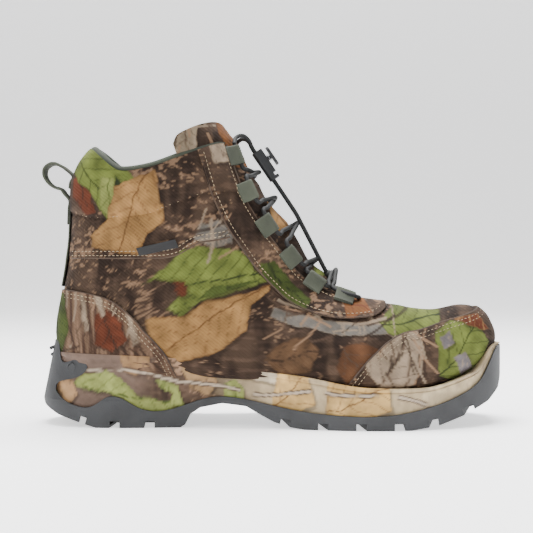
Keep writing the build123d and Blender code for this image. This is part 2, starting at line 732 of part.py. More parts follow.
with BuildPart() as lace_knot:
    with Locations((KNOT[0] + LOCK_DIR[0] * 2.2, 0, KNOT[1] + LOCK_DIR[1] * 2.2)):
        Sphere(3.6)
    for word in tails:
        cut(tails[word].part)
    cut(lace.part)

# ---------------------------------------------------------------- cord lock
LOCK_PLANE = Plane((TAIL_X, 0, TAIL_Z), x_dir=(0, 1, 0), z_dir=(LOCK_DIR[0], 0, LOCK_DIR[1]))
if LOCK_PLANE.y_dir.X < 0:
    LOCK_PLANE = Plane((TAIL_X, 0, TAIL_Z), x_dir=(0, -1, 0), z_dir=(LOCK_DIR[0], 0, LOCK_DIR[1]))
LOCK_INNER, LOCK_OUTER = -2.5, 4.9
WELL_FLOOR, WELL_R = 1.95, 3.3
CAP_GAP, CAP_THICK = 2.4, 2.0
BUTTON_AT = 8.0
STEM_R = 1.4
with BuildPart() as cord_lock_body:
    with BuildSketch(LOCK_PLANE):
        with Locations((0, (LOCK_INNER + LOCK_OUTER) / 2)):
            RectangleRounded(LOCK_WIDTH, LOCK_OUTER - LOCK_INNER, 2.2)
        with Locations((LOCK_PITCH / 2, 0), (-LOCK_PITCH / 2, 0)):
            Circle(LOCK_BORE / 2, mode=Mode.SUBTRACT)
    extrude(amount=LOCK_LEN)
    outer_plane = Plane(
        tuple(LOCK_PLANE.from_local_coords(Vector(0, LOCK_OUTER, BUTTON_AT))),
        x_dir=LOCK_PLANE.x_dir, z_dir=LOCK_PLANE.y_dir)
    with BuildSketch(outer_plane):
        Circle(WELL_R)
    extrude(amount=-(LOCK_OUTER - WELL_FLOOR), mode=Mode.SUBTRACT)
    # Window across the lower end, as on the real clamp
    with BuildSketch(outer_plane.offset(0)):
        with Locations((0, LOCK_LEN - BUTTON_AT - 3.2), (0, -(LOCK_LEN - BUTTON_AT - 3.2))):
            Rectangle(LOCK_WIDTH + 2, 2.4)
    extrude(amount=-2.2, mode=Mode.SUBTRACT)

with BuildPart() as cord_lock_button:
    with BuildSketch(outer_plane.offset(CAP_GAP)):
        RectangleRounded(LOCK_WIDTH - 1.5, 14, 2.4)
    extrude(amount=CAP_THICK)
    fillet(cord_lock_button.faces().sort_by(Axis(outer_plane.origin, outer_plane.z_dir))[-1].edges(), 0.8)
    with BuildSketch(outer_plane.offset(CAP_GAP)):
        Circle(STEM_R)
    extrude(amount=-(CAP_GAP + 0.4))

SPRING_WIRE = 0.5
SPRING_R = 2.3
spring_height = LOCK_OUTER - WELL_FLOOR + CAP_GAP
with BuildPart() as cord_lock_spring:
    turns = 3.5
    climb = spring_height - SPRING_WIRE - 0.1
    base = outer_plane.offset(-(LOCK_OUTER - WELL_FLOOR) + SPRING_WIRE / 2 + 0.05)
    with BuildLine() as coil:
        Helix(pitch=climb / turns, height=climb, radius=SPRING_R, center=base.origin,
              direction=base.z_dir)
    with BuildSketch(Plane(coil.line @ 0, z_dir=coil.line % 0)):
        Circle(SPRING_WIRE / 2)
    sweep(path=coil.line, is_frenet=True)

# ---------------------------------------------------------------- pull loop at the heel
PULL_LINE = [
    (-36.1, 170.0), (-39.8, 171.7), (-43.4, 171.4), (-46.8, 168.6), (-47.4, 164.4),
    (-45.7, 160.4), (-43, 157.5), (-39.8, 155.6), (-36.1, 154.6),
]


def band(points, thickness):
    """Side-view face of a webbing band along a curve."""
    normals = line_normals(points)
    points = np.array(points, float)
    left = [tuple(p) for p in points + normals * thickness / 2]
    right = [tuple(p) for p in points - normals * thickness / 2]
    with BuildSketch(Plane.XZ) as face:
        with BuildLine():
            Spline(*left)
            Line(left[-1], right[-1])
            Spline(*right[::-1])
            Line(right[0], left[0])
        make_face()
    return face.sketch


PULL_FACE = band(PULL_LINE, WEB_THICK)
with BuildPart() as pull_loop:
    extrude(PULL_FACE, amount=PULL_WIDTH / 2, both=True)

anchors = {}
for word, low, high in (("upper", 152.5, 165.0), ("lower", 133.0, 148.5)):
    heights = np.linspace(low, high, 4)
    backs = np.interp(heights, BACKS[8:0:-1, 1], BACKS[8:0:-1, 0]) + OVERLAY_OUT - 0.3
    end_face = band([(x - WEB_THICK / 2, z) for x, z in zip(backs, heights)], WEB_THICK)
    with BuildPart() as anchor:
        extrude(end_face, amount=PULL_WIDTH / 2, both=True)
    anchors[word] = anchor

# ---------------------------------------------------------------- finished pieces
finish(outsole.part, "outsole")
finish(midsole.part, "midsole")
finish(shank.part, "shank")
finish(lasting_board.part, "lasting_board")
finish(vamp.part, "vamp")
finish(toe_cap.part, "toe_cap")
finish(heel_overlay.part, "heel_overlay")
finish(back_strip.part, "back_strip")
finish(label.part, "label")
finish(collar_binding.part, "collar_binding")
finish(toe_puff.part, "toe_puff")
finish(heel_counter.part, "heel_counter")
finish(collar_foam.part, "collar_foam")
finish(insulation.part, "insulation")
finish(waterproof_bootie.part, "waterproof_bootie")
finish(lining.part, "lining")
finish(footbed.part, "footbed")
finish(tongue.part, "tongue")
finish(lace.part, "lace")
finish(lace_knot.part, "lace_knot")
finish(cord_lock_body.part, "cord_lock_body")
finish(cord_lock_button.part, "cord_lock_button")
finish(cord_lock_spring.part, "cord_lock_spring")
finish(pull_loop.part, "pull_loop")
for word in SIDES:
    finish(shafts[word].part, f"shaft_{word}")
    finish(stays[word].part, f"eyestay_{word}")
    finish(gussets[word].part, f"gusset_{word}")
    finish(tails[word].part, f"lace_tail_{word}")
for word, anchor in anchors.items():
    finish(anchor.part, f"pull_loop_stitch_{word}")
for name, loop in loops.items():
    finish(loop.part, name)
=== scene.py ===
import json
import math

import bmesh
import bpy
import numpy as np
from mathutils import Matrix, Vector


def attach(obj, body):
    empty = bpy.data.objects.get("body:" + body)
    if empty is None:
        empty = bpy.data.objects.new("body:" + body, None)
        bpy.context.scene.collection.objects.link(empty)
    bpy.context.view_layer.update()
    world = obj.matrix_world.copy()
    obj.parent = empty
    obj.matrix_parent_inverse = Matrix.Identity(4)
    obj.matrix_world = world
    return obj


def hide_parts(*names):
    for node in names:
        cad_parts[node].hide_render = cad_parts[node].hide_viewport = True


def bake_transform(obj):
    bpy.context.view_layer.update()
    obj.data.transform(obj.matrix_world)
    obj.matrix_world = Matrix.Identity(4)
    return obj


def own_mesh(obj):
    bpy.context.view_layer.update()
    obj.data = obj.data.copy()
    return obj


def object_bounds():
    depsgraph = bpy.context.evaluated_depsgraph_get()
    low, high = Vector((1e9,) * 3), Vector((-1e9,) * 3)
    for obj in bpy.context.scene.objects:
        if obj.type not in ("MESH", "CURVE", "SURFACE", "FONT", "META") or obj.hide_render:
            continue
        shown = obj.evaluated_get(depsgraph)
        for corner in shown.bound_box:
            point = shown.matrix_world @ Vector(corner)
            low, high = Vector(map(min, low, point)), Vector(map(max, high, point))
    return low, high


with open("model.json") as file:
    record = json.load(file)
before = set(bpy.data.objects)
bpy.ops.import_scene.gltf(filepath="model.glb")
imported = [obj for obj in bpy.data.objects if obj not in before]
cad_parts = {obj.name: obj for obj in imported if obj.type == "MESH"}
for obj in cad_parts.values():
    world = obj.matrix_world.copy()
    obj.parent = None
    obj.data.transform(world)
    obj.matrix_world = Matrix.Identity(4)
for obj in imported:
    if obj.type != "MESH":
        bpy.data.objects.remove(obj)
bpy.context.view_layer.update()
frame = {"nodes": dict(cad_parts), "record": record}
MM = 0.001

# ---------------------------------------------------------------- camera
camera_data = bpy.data.cameras.new("camera")
camera = bpy.data.objects.new("camera", camera_data)
bpy.context.scene.collection.objects.link(camera)
camera.location = (0.101, -0.800, 0.103)
camera.rotation_euler = (math.pi / 2, 0, 0)
camera_data.sensor_width = 36
camera_data.lens = 80.6
camera_data.clip_start = 0.01
bpy.context.scene.camera = camera

# ---------------------------------------------------------------- measures shared with the CAD, mm
CORD_DIA = 2.8
RIM = 2.2
STATIONS = [
    ((-9, 190), (62, 208), 46.0, 0.0, 0.45, 2.1, 2.2),
    ((-15.5, 180), (70, 197.8), 45.0, 0.0, 0.45, 2.1, 2.2),
    ((-23, 169), (79, 186), 44.0, 0.0, 0.45, 2.1, 2.2),
    ((-27.3, 158), (87, 171), 43.0, 0.0, 0.45, 2.1, 2.2),
    ((-28.3, 142), (95, 157), 42.0, 0.0, 0.44, 2.1, 2.4),
    ((-29, 122), (103.5, 144.5), 41.5, 0.0, 0.42, 2.1, 2.4),
    ((-31.5, 102), (113, 130), 41.5, 0.0, 0.40, 2.1, 2.4),
    ((-35.5, 80), (121.5, 115), 41.0, 0.0, 0.38, 2.2, 2.4),
    ((-38, 57), (130, 102), 40.5, 0.0, 0.34, 2.3, 2.4),
    ((-31, 35), (138, 95), 40.0, 0.0, 0.32, 2.4, 2.4),
    ((0, 29), (145, 89.5), 41.0, 0.0, 0.30, 2.6, 2.4),
    ((50, 27), (153, 84.5), 43.0, 0.5, 0.30, 2.8, 2.4),
    ((95, 24), (163, 81), 46.0, 1.0, 0.30, 2.9, 2.4),
    ((132, 20.5), (174, 79.3), 49.0, 1.0, 0.30, 3.0, 2.4),
    ((163, 18.5), (187, 77.8), 50.0, 1.5, 0.30, 3.0, 2.4),
    ((190, 19.5), (200, 75.6), 49.5, 2.5, 0.30, 2.9, 2.1),
    ((212, 23.5), (214, 74.6), 45.5, 4.5, 0.32, 2.7, 2.1),
    ((229, 29.5), (229.5, 77.5), 38.0, 6.5, 0.36, 2.5, 2.2),
    ((240, 36), (239.5, 77.0), 30.0, 8.0, 0.40, 2.4, 2.3),
    ((247, 42), (247, 72), 21.5, 9.0, 0.45, 2.3, 2.3),
    ((251.3, 47), (251.5, 65), 13.5, 9.3, 0.48, 2.2, 2.2),
    ((253.5, 51), (253.8, 59), 7.0, 9.5, 0.50, 2.0, 2.0),
]
PLAN = [
    (-47.4, 0.0, 0.0), (-45.5, 11.5, 0.0), (-40, 22.0, 0.0), (-25, 34.0, 0.0),
    (0, 39.5, 0.0), (30, 39.0, 0.5), (60, 37.5, 2.0), (90, 39.5, 2.0),
    (120, 46.5, 0.0), (150, 52.5, -1.0), (180, 54.5, 0.0), (205, 52.0, 3.0),
    (225, 46.0, 6.0), (240, 37.5, 8.0), (250, 27.5, 9.0), (256.5, 14.0, 9.5),
    (258.4, 0.0, 9.5),
]
PLAN_STRAIGHT_TOP = 17.0
PLAN_LEAN_TOP = 60.0
LEAN = [(-47.4, 8.5), (0, 4.5), (60, 3.0), (150, 2.0), (220, 0.5), (258.4, 0.0)]
RUBBER_EDGE = [
    (258, 50.7), (253, 50.7), (245, 38.2), (239, 29.6), (228, 22.4), (204, 14.1), (178, 9.4),
    (147, 9.2), (116, 12.5), (87, 18.1), (65, 19.1), (50, 14.8), (36.3, 11.0),
    (22.5, 11.6), (14.8, 15.2), (8.4, 18.8), (-0.9, 19.5), (-6.5, 16.0), (-13, 12.9),
    (-21, 13.6), (-28.5, 16.4), (-35.8, 22.9), (-50, 30),
]
COLLAR_LINE = [
    (-34, 185), (-15, 180.4), (-5, 173), (2, 167), (10, 163.8), (27, 166.2),
    (43, 171.9), (56, 177), (66, 181), (76, 184), (100, 190),
]
MID_SEAM = [(-45, 108.7), (17, 108.4), (41.6, 109.7), (57.5, 118), (77.6, 122), (130, 138)]
FRONT_EDGE = [
    (69, 197), (72.4, 186), (75.3, 176.8), (79.2, 165.9), (85.6, 149.7), (94.2, 134.6),
    (105, 119.6), (113.7, 108.8), (122.3, 98), (136.3, 89.3), (148.1, 84.6), (160, 82.6),
]
STAY_EDGE = [
    (54, 190), (57.2, 177.1), (62.5, 159.6), (67.8, 145.8), (75.3, 129.8), (83.8, 117.1),
    (94.3, 102.3), (105, 90.7), (115.6, 81), (131.5, 73.6), (147.6, 70.3), (167.2, 71.2),
    (177.6, 76.3), (181, 84),
]
TOE_CAP_EDGE = [
    (146, 15), (153, 28), (163, 41), (170, 48), (178, 55), (188.5, 60.5), (200, 62.5),
    (217, 67.5), (240, 74.5), (250, 84),
]
HEEL_EDGE = [
    (-44, 88), (-28, 87.3), (-8.6, 84.2), (3.4, 79.9), (15.3, 70.4), (23.7, 60.7),
    (32, 52), (38, 44), (44, 30),
]
MIDSOLE_EDGE = [
    (-50, 47.0), (-20, 47.2), (33, 45.3), (58.6, 42), (90.5, 37.3), (122, 33.4),
    (153, 27.6), (172, 26.2), (197, 26.0), (212, 27.6), (232, 33.2), (241, 37.0), (252, 50), (258, 52),
]
COLLAR_STITCH = [(-26, 138), (-7, 134.4), (24.5, 137), (36, 141), (64, 151.5)]
LABEL_CORNERS = [(18.2, 114.5), (42.9, 120.3), (45.1, 115.0), (20.3, 109.7)]
TONGUE_BACK = [
    (41.5, 181), (48, 163), (60, 141), (75, 121), (92, 103.5), (112, 89), (135, 79), (160, 72),
]
TONGUE_TOP = [(41.5, 181), (44, 186.5), (50, 190.5), (60, 195.2), (70, 197.6), (78, 193)]
LOOPS = [(79.2, 174.5), (88.3, 151.3), (100.9, 129.7), (116.3, 109.3), (132.0, 92.4), (151.8, 82.4)]
LOOP_HALF = 6.5
BORE_IN, BORE_UP = 2.0, 2.9
CROSSINGS = [(94.9, 165.4), (105.8, 148.3), (120.6, 131.6), (133.6, 107.4), (146.2, 100.2)]
TAIL_ARCH = [(79.6, 17.6, 187.0), (84.8, 11.5, 190.3), (89.4, 4.9, 187.2), (90.9, 2.1, 182.8)]
TAIL_BEND = (120.3, 139.5)
KNOT = (141.2, 99.0)


# ---------------------------------------------------------------- surface of the upper, mm
def unit(vector):
    """The vector at unit length."""
    return vector / np.linalg.norm(vector)


def line_normals(points):
    """Unit normals of an open side-view line, to the left of its travel."""
    points = np.array(points, float)
    along = np.gradient(points, axis=0)
    normal = np.stack([-along[:, 1], along[:, 0]], axis=1)
    return normal / np.linalg.norm(normal, axis=1)[:, None]


BACKS = np.array([row[0] for row in STATIONS], float)
FRONTS = np.array([row[1] for row in STATIONS], float)
SIZES = np.array([row[2:] for row in STATIONS], float)
BACK_OUT = -line_normals(BACKS)
FRONT_OUT = line_normals(FRONTS)


def station(s, depth):
    """Back point, front point and sizes of the section at the real-valued station s."""
    i = int(min(max(math.floor(s), 0), len(STATIONS) - 2))
    t = s - i
    table = np.hstack([BACKS - depth * BACK_OUT, FRONTS - depth * FRONT_OUT, SIZES])
    p1, p2 = table[i], table[i + 1]
    p0 = table[i - 1] if i > 0 else 2 * p1 - p2
    p3 = table[i + 2] if i + 2 < len(table) else 2 * p2 - p1
    m1, m2 = (p2 - p0) / 2, (p3 - p1) / 2
    row = ((2 * t**3 - 3 * t**2 + 1) * p1 + (t**3 - 2 * t**2 + t) * m1
           + (3 * t**2 - 2 * t**3) * p2 + (t**3 - t**2) * m2)
    return row[0:2], row[2:4], max(row[4] - depth, 1.2), row[5], row[6], row[7], row[8]


def ring(s, angles, depth):
    """Points of the section at station s: angle 0 medial, 90 front, 180 lateral, 270 back."""
    back, front, half, centre, widest, low, high = station(s, depth)
    sine, cosine = np.sin(np.radians(angles)), np.cos(np.radians(angles))
    power = np.where(sine >= 0, high, low)
    reach = np.where(sine >= 0, 1 - widest, widest)
    along = widest + reach * np.sign(sine) * np.abs(sine)**(2 / power)
    across = np.sign(cosine) * np.abs(cosine)**(2 / power)
    spot = back[None, :] + (front - back)[None, :] * along[:, None]
    return np.stack([spot[:, 0], centre + half * across, spot[:, 1]], axis=1)


def locate(x, z, depth):
    """Station and fraction of the chord for a side-view place."""
    low, high = 0.0, len(STATIONS) - 1.0
    for _ in range(26):
        s = (low + high) / 2
        back, front = station(s, depth)[:2]
        if (front[0] - back[0]) * (z - back[1]) - (front[1] - back[1]) * (x - back[0]) < 0:
            low = s
        else:
            high = s
    chord = front - back
    return s, float(np.dot(np.array([x, z]) - back, chord) / np.dot(chord, chord))


def section_at(x, z, depth):
    """Half width, middle, reach from the widest place and power of the section at a side-view place."""
    s, fraction = locate(x, z, depth)
    _, _, half, centre, widest, low, high = station(s, depth)
    if fraction >= widest:
        return half, centre, (fraction - widest) / (1 - widest), high
    return half, centre, (widest - fraction) / widest, low


def on_upper(x, z, side, depth):
    """Point of the upper at a side-view place; side is -1 lateral, 1 medial."""
    half, centre, reach, power = section_at(x, z, depth)
    across = (1 - min(abs(reach), 0.999)**power)**(1 / power)
    return np.array([x, centre + side * half * across, z])


def upper_normal(x, z, side, depth):
    """Outward unit normal of the upper at a side-view place."""
    along_x = on_upper(x + 0.5, z, side, depth) - on_upper(x - 0.5, z, side, depth)
    along_z = on_upper(x, z + 0.5, side, depth) - on_upper(x, z - 0.5, side, depth)
    normal = unit(np.cross(along_x, along_z))
    return normal if normal[1] * side > 0 else -normal


def smooth(points, step=1.5):
    """Points along a smooth curve through the given ones."""
    points = np.array(points, float)
    ends = np.vstack([2 * points[0] - points[1], points, 2 * points[-1] - points[-2]])
    out = []
    for a, b, c, d in zip(ends, ends[1:], ends[2:], ends[3:]):
        count = max(int(np.linalg.norm(c - b) / step), 1)
        for t in np.arange(count) / count:
            out.append(0.5 * (2 * b + (c - a) * t + (2 * a - 5 * b + 4 * c - d) * t**2
                              + (3 * b - a - 3 * c + d) * t**3))
    out.append(points[-1])
    return np.array(out)


def height_over(point):
    """Height of a point above the face of the outer fabric."""
    low, high = -14.0, 6.0
    for _ in range(15):
        depth = (low + high) / 2
        half, centre, reach, power = section_at(point[0], point[2], depth)
        if (abs(point[1] - centre) / half)**power + reach**power < 1:
            low = depth
        else:
            high = depth
    return -(low + high) / 2


# ---------------------------------------------------------------- lacing lines, mm
def loop_frame(index, side):
    """Seat, axis, outward normal and tongue-side direction of one lace loop."""
    x, z = LOOPS[index]
    seat = on_upper(x, z, side, -1.25)
    before = LOOPS[max(index - 1, 0)]
    after = LOOPS[min(index + 1, len(LOOPS) - 1)]
    start, end = on_upper(*before, side, -1.25), on_upper(*after, side, -1.25)
    normal = upper_normal(x, z, side, -1.25)
    axis = end - start
    axis = unit(axis - normal * np.dot(axis, normal))
    inward = unit(np.cross(normal, axis))
    inward = inward if inward[1] * side < 0 else -inward
    return seat, axis, normal, inward


def loop_end(index, side, sign, extra):
    """Point on a loop's bore axis, outside its upper (-1) or lower (1) end."""
    seat, axis, normal, inward = loop_frame(index, side)
    middle = seat + normal * (0.15 + BORE_UP) + inward * BORE_IN
    return middle + axis * sign * (LOOP_HALF + extra)


def over_tongue(start, end):
    """Points between two places of the lace that bow over the tongue."""
    middle = []
    for part in (0.3, 0.6):
        point = start + (end - start) * part
        outward = unit(np.array([0.75, 0.45 * np.sign(point[1]), 0.48]))
        for _ in range(3):
            point = point + outward * max(1.9 - height_over(point), 0)
        middle.append(point)
    return middle


def strand(start_side):
    """Zigzag of one strand from its top loop to the bottom loop."""
    side, route = start_side, []
    for index in range(len(LOOPS)):
        upper = loop_end(index, side, -1, 1.2 if index == 0 else 1.8)
        lower = loop_end(index, side, 1, 1.8)
        if index > 0:
            route += over_tongue(upper, route[-1])[::-1]
        route += [upper, lower]
        if index < len(CROSSINGS):
            lift = 1.6 * (1 if side * (-1)**index > 0 else -1)
            x, z = CROSSINGS[index]
            outward = unit(np.array([0.84, 0.54]))
            over = np.array([x + outward[0] * lift, 0, z + outward[1] * lift])
            route += over_tongue(lower, over) + [over]
            side = -side
    return route


# ---------------------------------------------------------------- meshes
def link(name, data, body=None):
    """New object in the scene, riding on a body."""
    obj = bpy.data.objects.new(name, data)
    bpy.context.scene.collection.objects.link(obj)
    if body:
        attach(obj, body)
    return obj


def mesh_object(name, points, faces, body=None, angle=40):
    """Mesh object from points in mm, smooth but for sharp edges."""
    mesh = bpy.data.meshes.new(name)
    mesh.from_pydata([tuple(p) for p in np.array(points, float) * MM], [], faces)
    soften(mesh, angle)
    return link(name, mesh, body)


def soften(mesh, angle=40):
    """Smooth shading with sharp edges above the angle, normals outward."""
    work = bmesh.new()
    work.from_mesh(mesh)
    bmesh.ops.recalc_face_normals(work, faces=work.faces)
    work.to_mesh(mesh)
    work.free()
    mesh.shade_smooth()
    mesh.set_sharp_from_angle(angle=math.radians(angle))


def grid_faces(rows, columns, closed):
    """Quads of a grid whose rows may close on themselves."""
    faces = []
    for row in range(rows - 1):
        for column in range(columns if closed else columns - 1):
            beside = (column + 1) % columns
            a, b = row * columns + column, row * columns + beside
            faces.append((a, b, b + columns, a + columns))
    return faces


def prism_points(outline, low, high):
    """Points and faces of a side-view outline carried across the boot."""
    count = len(outline)
    near = [(x, low, z) for x, z in outline]
    far = [(x, high, z) for x, z in outline]
    faces = [tuple(range(count)), tuple(range(2 * count - 1, count - 1, -1))]
    for i in range(count):
        j = (i + 1) % count
        faces.append((i, i + count, j + count, j))
    return near + far, faces


def boolean(obj, cutter, operation):
    """Cut or keep obj by the cutter, which is then removed."""
    modifier = obj.modifiers.new("cut", "BOOLEAN")
    modifier.operation = operation
    modifier.object = cutter
    modifier.solver = "MANIFOLD"
    graph = bpy.context.evaluated_depsgraph_get()
    mesh = bpy.data.meshes.new_from_object(obj.evaluated_get(graph))
    obj.modifiers.clear()
    obj.data = mesh
    bpy.data.objects.remove(cutter)


def upper_form(depth, s_step, angles, puff=None):
    """Points of the whole form at a depth, one row per station; puff lifts each point."""
    rows = []
    for s in np.arange(0, len(STATIONS) - 1 + 1e-6, s_step):
        points = ring(s, angles, depth)
        if puff is not None:
            outer = ring(s, angles, depth - 1)
            points = points + (outer - points) * puff(points)[:, None]
        rows.append(points)
    return rows


ANGLES = np.arange(0, 360, 1.0)
FINE_STEP, COARSE_STEP = 0.0625, 0.25
SPAN = 90


def form_object(name, depth, fine, puff=None):
    """Closed solid of the whole upper form at one depth."""
    rows = upper_form(depth, FINE_STEP if fine else COARSE_STEP, ANGLES, puff)
    count = len(ANGLES)
    points = np.vstack(rows)
    faces = grid_faces(len(rows), count, True)
    faces.append(tuple(range(count))[::-1])
    faces.append(tuple(range((len(rows) - 1) * count, len(rows) * count)))
    return mesh_object(name, points, faces)


def region(*runs):
    """Side-view outline from smooth ('curve') and straight ('line') runs."""
    outline = []
    for kind, points in runs:
        outline += [tuple(p) for p in (smooth(points) if kind == "curve" else points)]
    return outline


def panel(name, outer, inner, body, keeps, cuts=(), puff=None, low=-SPAN, high=SPAN):
    """Fabric panel between two depths, kept inside some side-view outlines and cut by others."""
    obj = form_object(name, outer, True, puff)
    boolean(obj, form_object("inner", inner, False), "DIFFERENCE")
    for outline in keeps:
        points, faces = prism_points(outline, low, high)
        boolean(obj, mesh_object("keeper", points, faces), "INTERSECT")
    for outline in cuts:
        points, faces = prism_points(outline, -SPAN, SPAN)
        boolean(obj, mesh_object("cutter", points, faces), "DIFFERENCE")
    soften(obj.data)
    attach(obj, body)
    return obj


def tube_object(name, points, radius, body, sides=8, closed=False):
    """Round tube along points in mm."""
    points = np.array(points, float)
    along = np.gradient(points, axis=0)
    if closed:
        along = np.roll(points, -1, axis=0) - np.roll(points, 1, axis=0)
    along /= np.linalg.norm(along, axis=1)[:, None]
    turns = np.radians(np.arange(sides) * 360 / sides)
    reference = unit(np.cross(along[0], (0.3, 1, 0.2)))
    rings = []
    for point, forward in zip(points, along):
        reference = unit(reference - forward * np.dot(reference, forward))
        other = np.cross(forward, reference)
        rings.append(point + radius * (np.cos(turns)[:, None] * reference + np.sin(turns)[:, None] * other))
    faces = grid_faces(len(points), sides, True)
    if closed:
        last = (len(points) - 1) * sides
        for i in range(sides):
            j = (i + 1) % sides
            faces.append((last + i, last + j, j, i))
    else:
        faces.append(tuple(range(sides))[::-1])
        faces.append(tuple(range((len(points) - 1) * sides, len(points) * sides)))
    return mesh_object(name, np.vstack(rings), faces, body)


# ---------------------------------------------------------------- the leaf print
def value_noise(x, y, seed):
    """Smooth noise from 0 to 1 on a unit lattice."""
    ix, iy = np.floor(x).astype(np.int64), np.floor(y).astype(np.int64)
    fx, fy = x - ix, y - iy
    fx, fy = fx * fx * (3 - 2 * fx), fy * fy * (3 - 2 * fy)

    def corner(a, b):
        mixed = (a * 374761393 + b * 668265263 + seed * 1442695041) & 0x7FFFFFFF
        mixed = ((mixed ^ (mixed >> 13)) * 1274126177) & 0x7FFFFFFF
        return ((mixed ^ (mixed >> 16)) & 0xFFFF) / 65535.0
    top = corner(ix, iy) * (1 - fx) + corner(ix + 1, iy) * fx
    low = corner(ix, iy + 1) * (1 - fx) + corner(ix + 1, iy + 1) * fx
    return top * (1 - fy) + low * fy


def fractal(x, y, seed, octaves=3):
    """Layered noise from 0 to 1."""
    total, weight, size = 0.0, 0.0, 1.0
    for octave in range(octaves):
        total = total + size * value_noise(x * 2**octave, y * 2**octave, seed + octave)
        weight += size
        size *= 0.55
    return total / weight


def outline_distance(x, z, outline):
    """Distance to a closed outline, positive inside."""
    outline = np.array(outline, float)
    inside = np.zeros(len(x), bool)
    nearest = np.full(len(x), 1e9)
    for a, b in zip(outline, np.roll(outline, -1, axis=0)):
        crosses = (a[1] > z) != (b[1] > z)
        if a[1] != b[1]:
            at = (b[0] - a[0]) * (z - a[1]) / (b[1] - a[1]) + a[0]
            inside ^= crosses & (x < at)
        edge = b - a
        t = np.clip(((x - a[0]) * edge[0] + (z - a[1]) * edge[1]) / max(edge @ edge, 1e-9), 0, 1)
        nearest = np.minimum(nearest, np.hypot(x - a[0] - t * edge[0], z - a[1] - t * edge[1]))
    return np.where(inside, nearest, -nearest)


def linear(rgb):
    """Scene-linear colour of an sRGB one."""
    c = np.array(rgb, float) / 255
    return np.where(c <= 0.04045, c / 12.92, ((c + 0.055) / 1.055)**2.4)


DARK_BROWN, MID_BROWN, FLECK = (58, 44, 36), (96, 76, 62), (176, 140, 110)
TAN, TAN_VEIN, ORANGE, RUST = (180, 136, 84), (112, 76, 46), (150, 96, 56), (116, 62, 42)
GREEN, DEEP_GREEN, LIME, SHADOW = (126, 138, 66), (82, 94, 44), (152, 160, 88), (44, 52, 30)
CREAM, LICHEN, LILAC, GOLD = (180, 158, 134), (128, 122, 114), (138, 130, 132), (206, 168, 106)

# Leaves of the print: outline, colour, vein colour, vein line (from, to)
UPPER_LEAVES = [
    ([(58, 130), (70, 132), (80, 127), (79, 118), (66, 115), (56, 120)], LICHEN, CREAM, None),
    ([(105, 77), (130, 70), (160, 66), (179, 66), (178, 60), (150, 59), (120, 65), (103, 71)],
     LICHEN, CREAM, None),
    ([(-26, 160), (-18, 163), (-12, 150), (-8, 138), (-16, 136), (-26, 148)], RUST, DARK_BROWN, None),
    ([(-27, 178), (-14, 182), (-4, 175), (3, 168), (12, 165), (18, 158), (12, 149), (8, 137), (-1, 133),
      (-7, 143), (-13, 152), (-21, 158), (-28, 168)], GREEN, SHADOW, ((-24, 178), (6, 136))),
    ([(4, 161), (10, 156), (12, 147), (7, 134), (2, 135), (6, 148)], SHADOW, GREEN, None),
    ([(-5, 161), (4, 159), (6, 146), (2, 134), (-5, 141)], LIME, DEEP_GREEN, ((1, 160), (1, 135))),
    ([(19.4, 160.5), (29.6, 164.3), (30.8, 161.1), (35.9, 131.9), (25.8, 123.6), (19.4, 109.7), (8, 110.9),
      (-11, 116), (-12.3, 122.4), (-0.9, 132.8), (4.5, 154.1)], TAN, TAN_VEIN, ((24, 162), (6, 113))),
    ([(24, 70), (47, 71), (63, 82), (88, 86), (104, 92), (103, 88), (91, 78), (88, 63), (70, 48), (45, 42),
      (28, 52)], TAN, TAN_VEIN, ((100, 90), (34, 50))),
    ([(21.3, 91.9), (37.2, 103.3), (46.7, 112.8), (57.2, 116), (73, 114.9), (83.5, 112.8), (90.9, 106.5),
      (94.1, 99.1), (103.5, 93.9), (76.2, 85.5), (57.2, 80.2), (46.7, 70.7), (37.2, 76), (46.7, 85.5),
      (48.8, 90.7), (30.8, 95.1)], GREEN, SHADOW, ((24, 92), (100, 96))),
    ([(42, 93), (50, 94), (51, 85), (44, 84)], RUST, DARK_BROWN, None),
    ([(56, 82), (66, 84), (84, 90), (100, 95), (84, 93), (66, 90)], DEEP_GREEN, SHADOW, None),
    ([(145, 38), (150, 52), (162, 55), (173, 50), (175, 38), (166, 29), (152, 29)], (112, 76, 52), MID_BROWN,
     ((150, 52), (166, 32))),
    ([(172, 68), (184, 78), (198, 80), (216, 74), (212, 62), (190, 57), (178, 60)], GREEN, SHADOW,
     ((174, 66), (212, 70))),
    ([(100, 44), (112, 56), (126, 58), (134, 50), (128, 36), (112, 32)], (112, 84, 60), DARK_BROWN,
     ((102, 44), (132, 48))),
]
CAP_LEAVES = [
    ([(163, 41), (172, 52), (182, 61), (196, 63), (201, 52), (199, 36), (190, 25), (172, 25)],
     CREAM, MID_BROWN, ((172, 28), (192, 60))),
    ([(209, 62), (220, 68), (238, 68), (248, 54), (242, 38), (226, 29), (211, 33)], GREEN, SHADOW,
     ((214, 36), (238, 64))),
    ([(220, 45), (230, 48), (234, 38), (226, 33)], LILAC, CREAM, None),
    ([(212, 58), (219, 62), (222, 55), (214, 50)], LILAC, CREAM, None),
    ([(222, 70), (240, 72), (248, 62), (240, 62), (230, 66)], RUST, TAN, None),
]
HEEL_LEAVES = [
    ([(-44, 84), (-32, 86), (-27, 62), (-33, 44), (-46, 50)], DEEP_GREEN, SHADOW, ((-36, 84), (-36, 48))),
    ([(-9, 72), (0, 76), (9, 68), (12, 56), (3, 48), (-8, 53)], RUST, DARK_BROWN, ((-2, 74), (4, 50))),
    ([(-11, 88), (-6, 88), (-1, 72), (-4, 70)], CREAM, MID_BROWN, None),
    ([(-20, 86), (-17, 86), (-13, 62), (-16, 60)], CREAM, MID_BROWN, None),
    ([(9, 84), (12, 82), (20, 54), (16, 52)], CREAM, MID_BROWN, None),
]
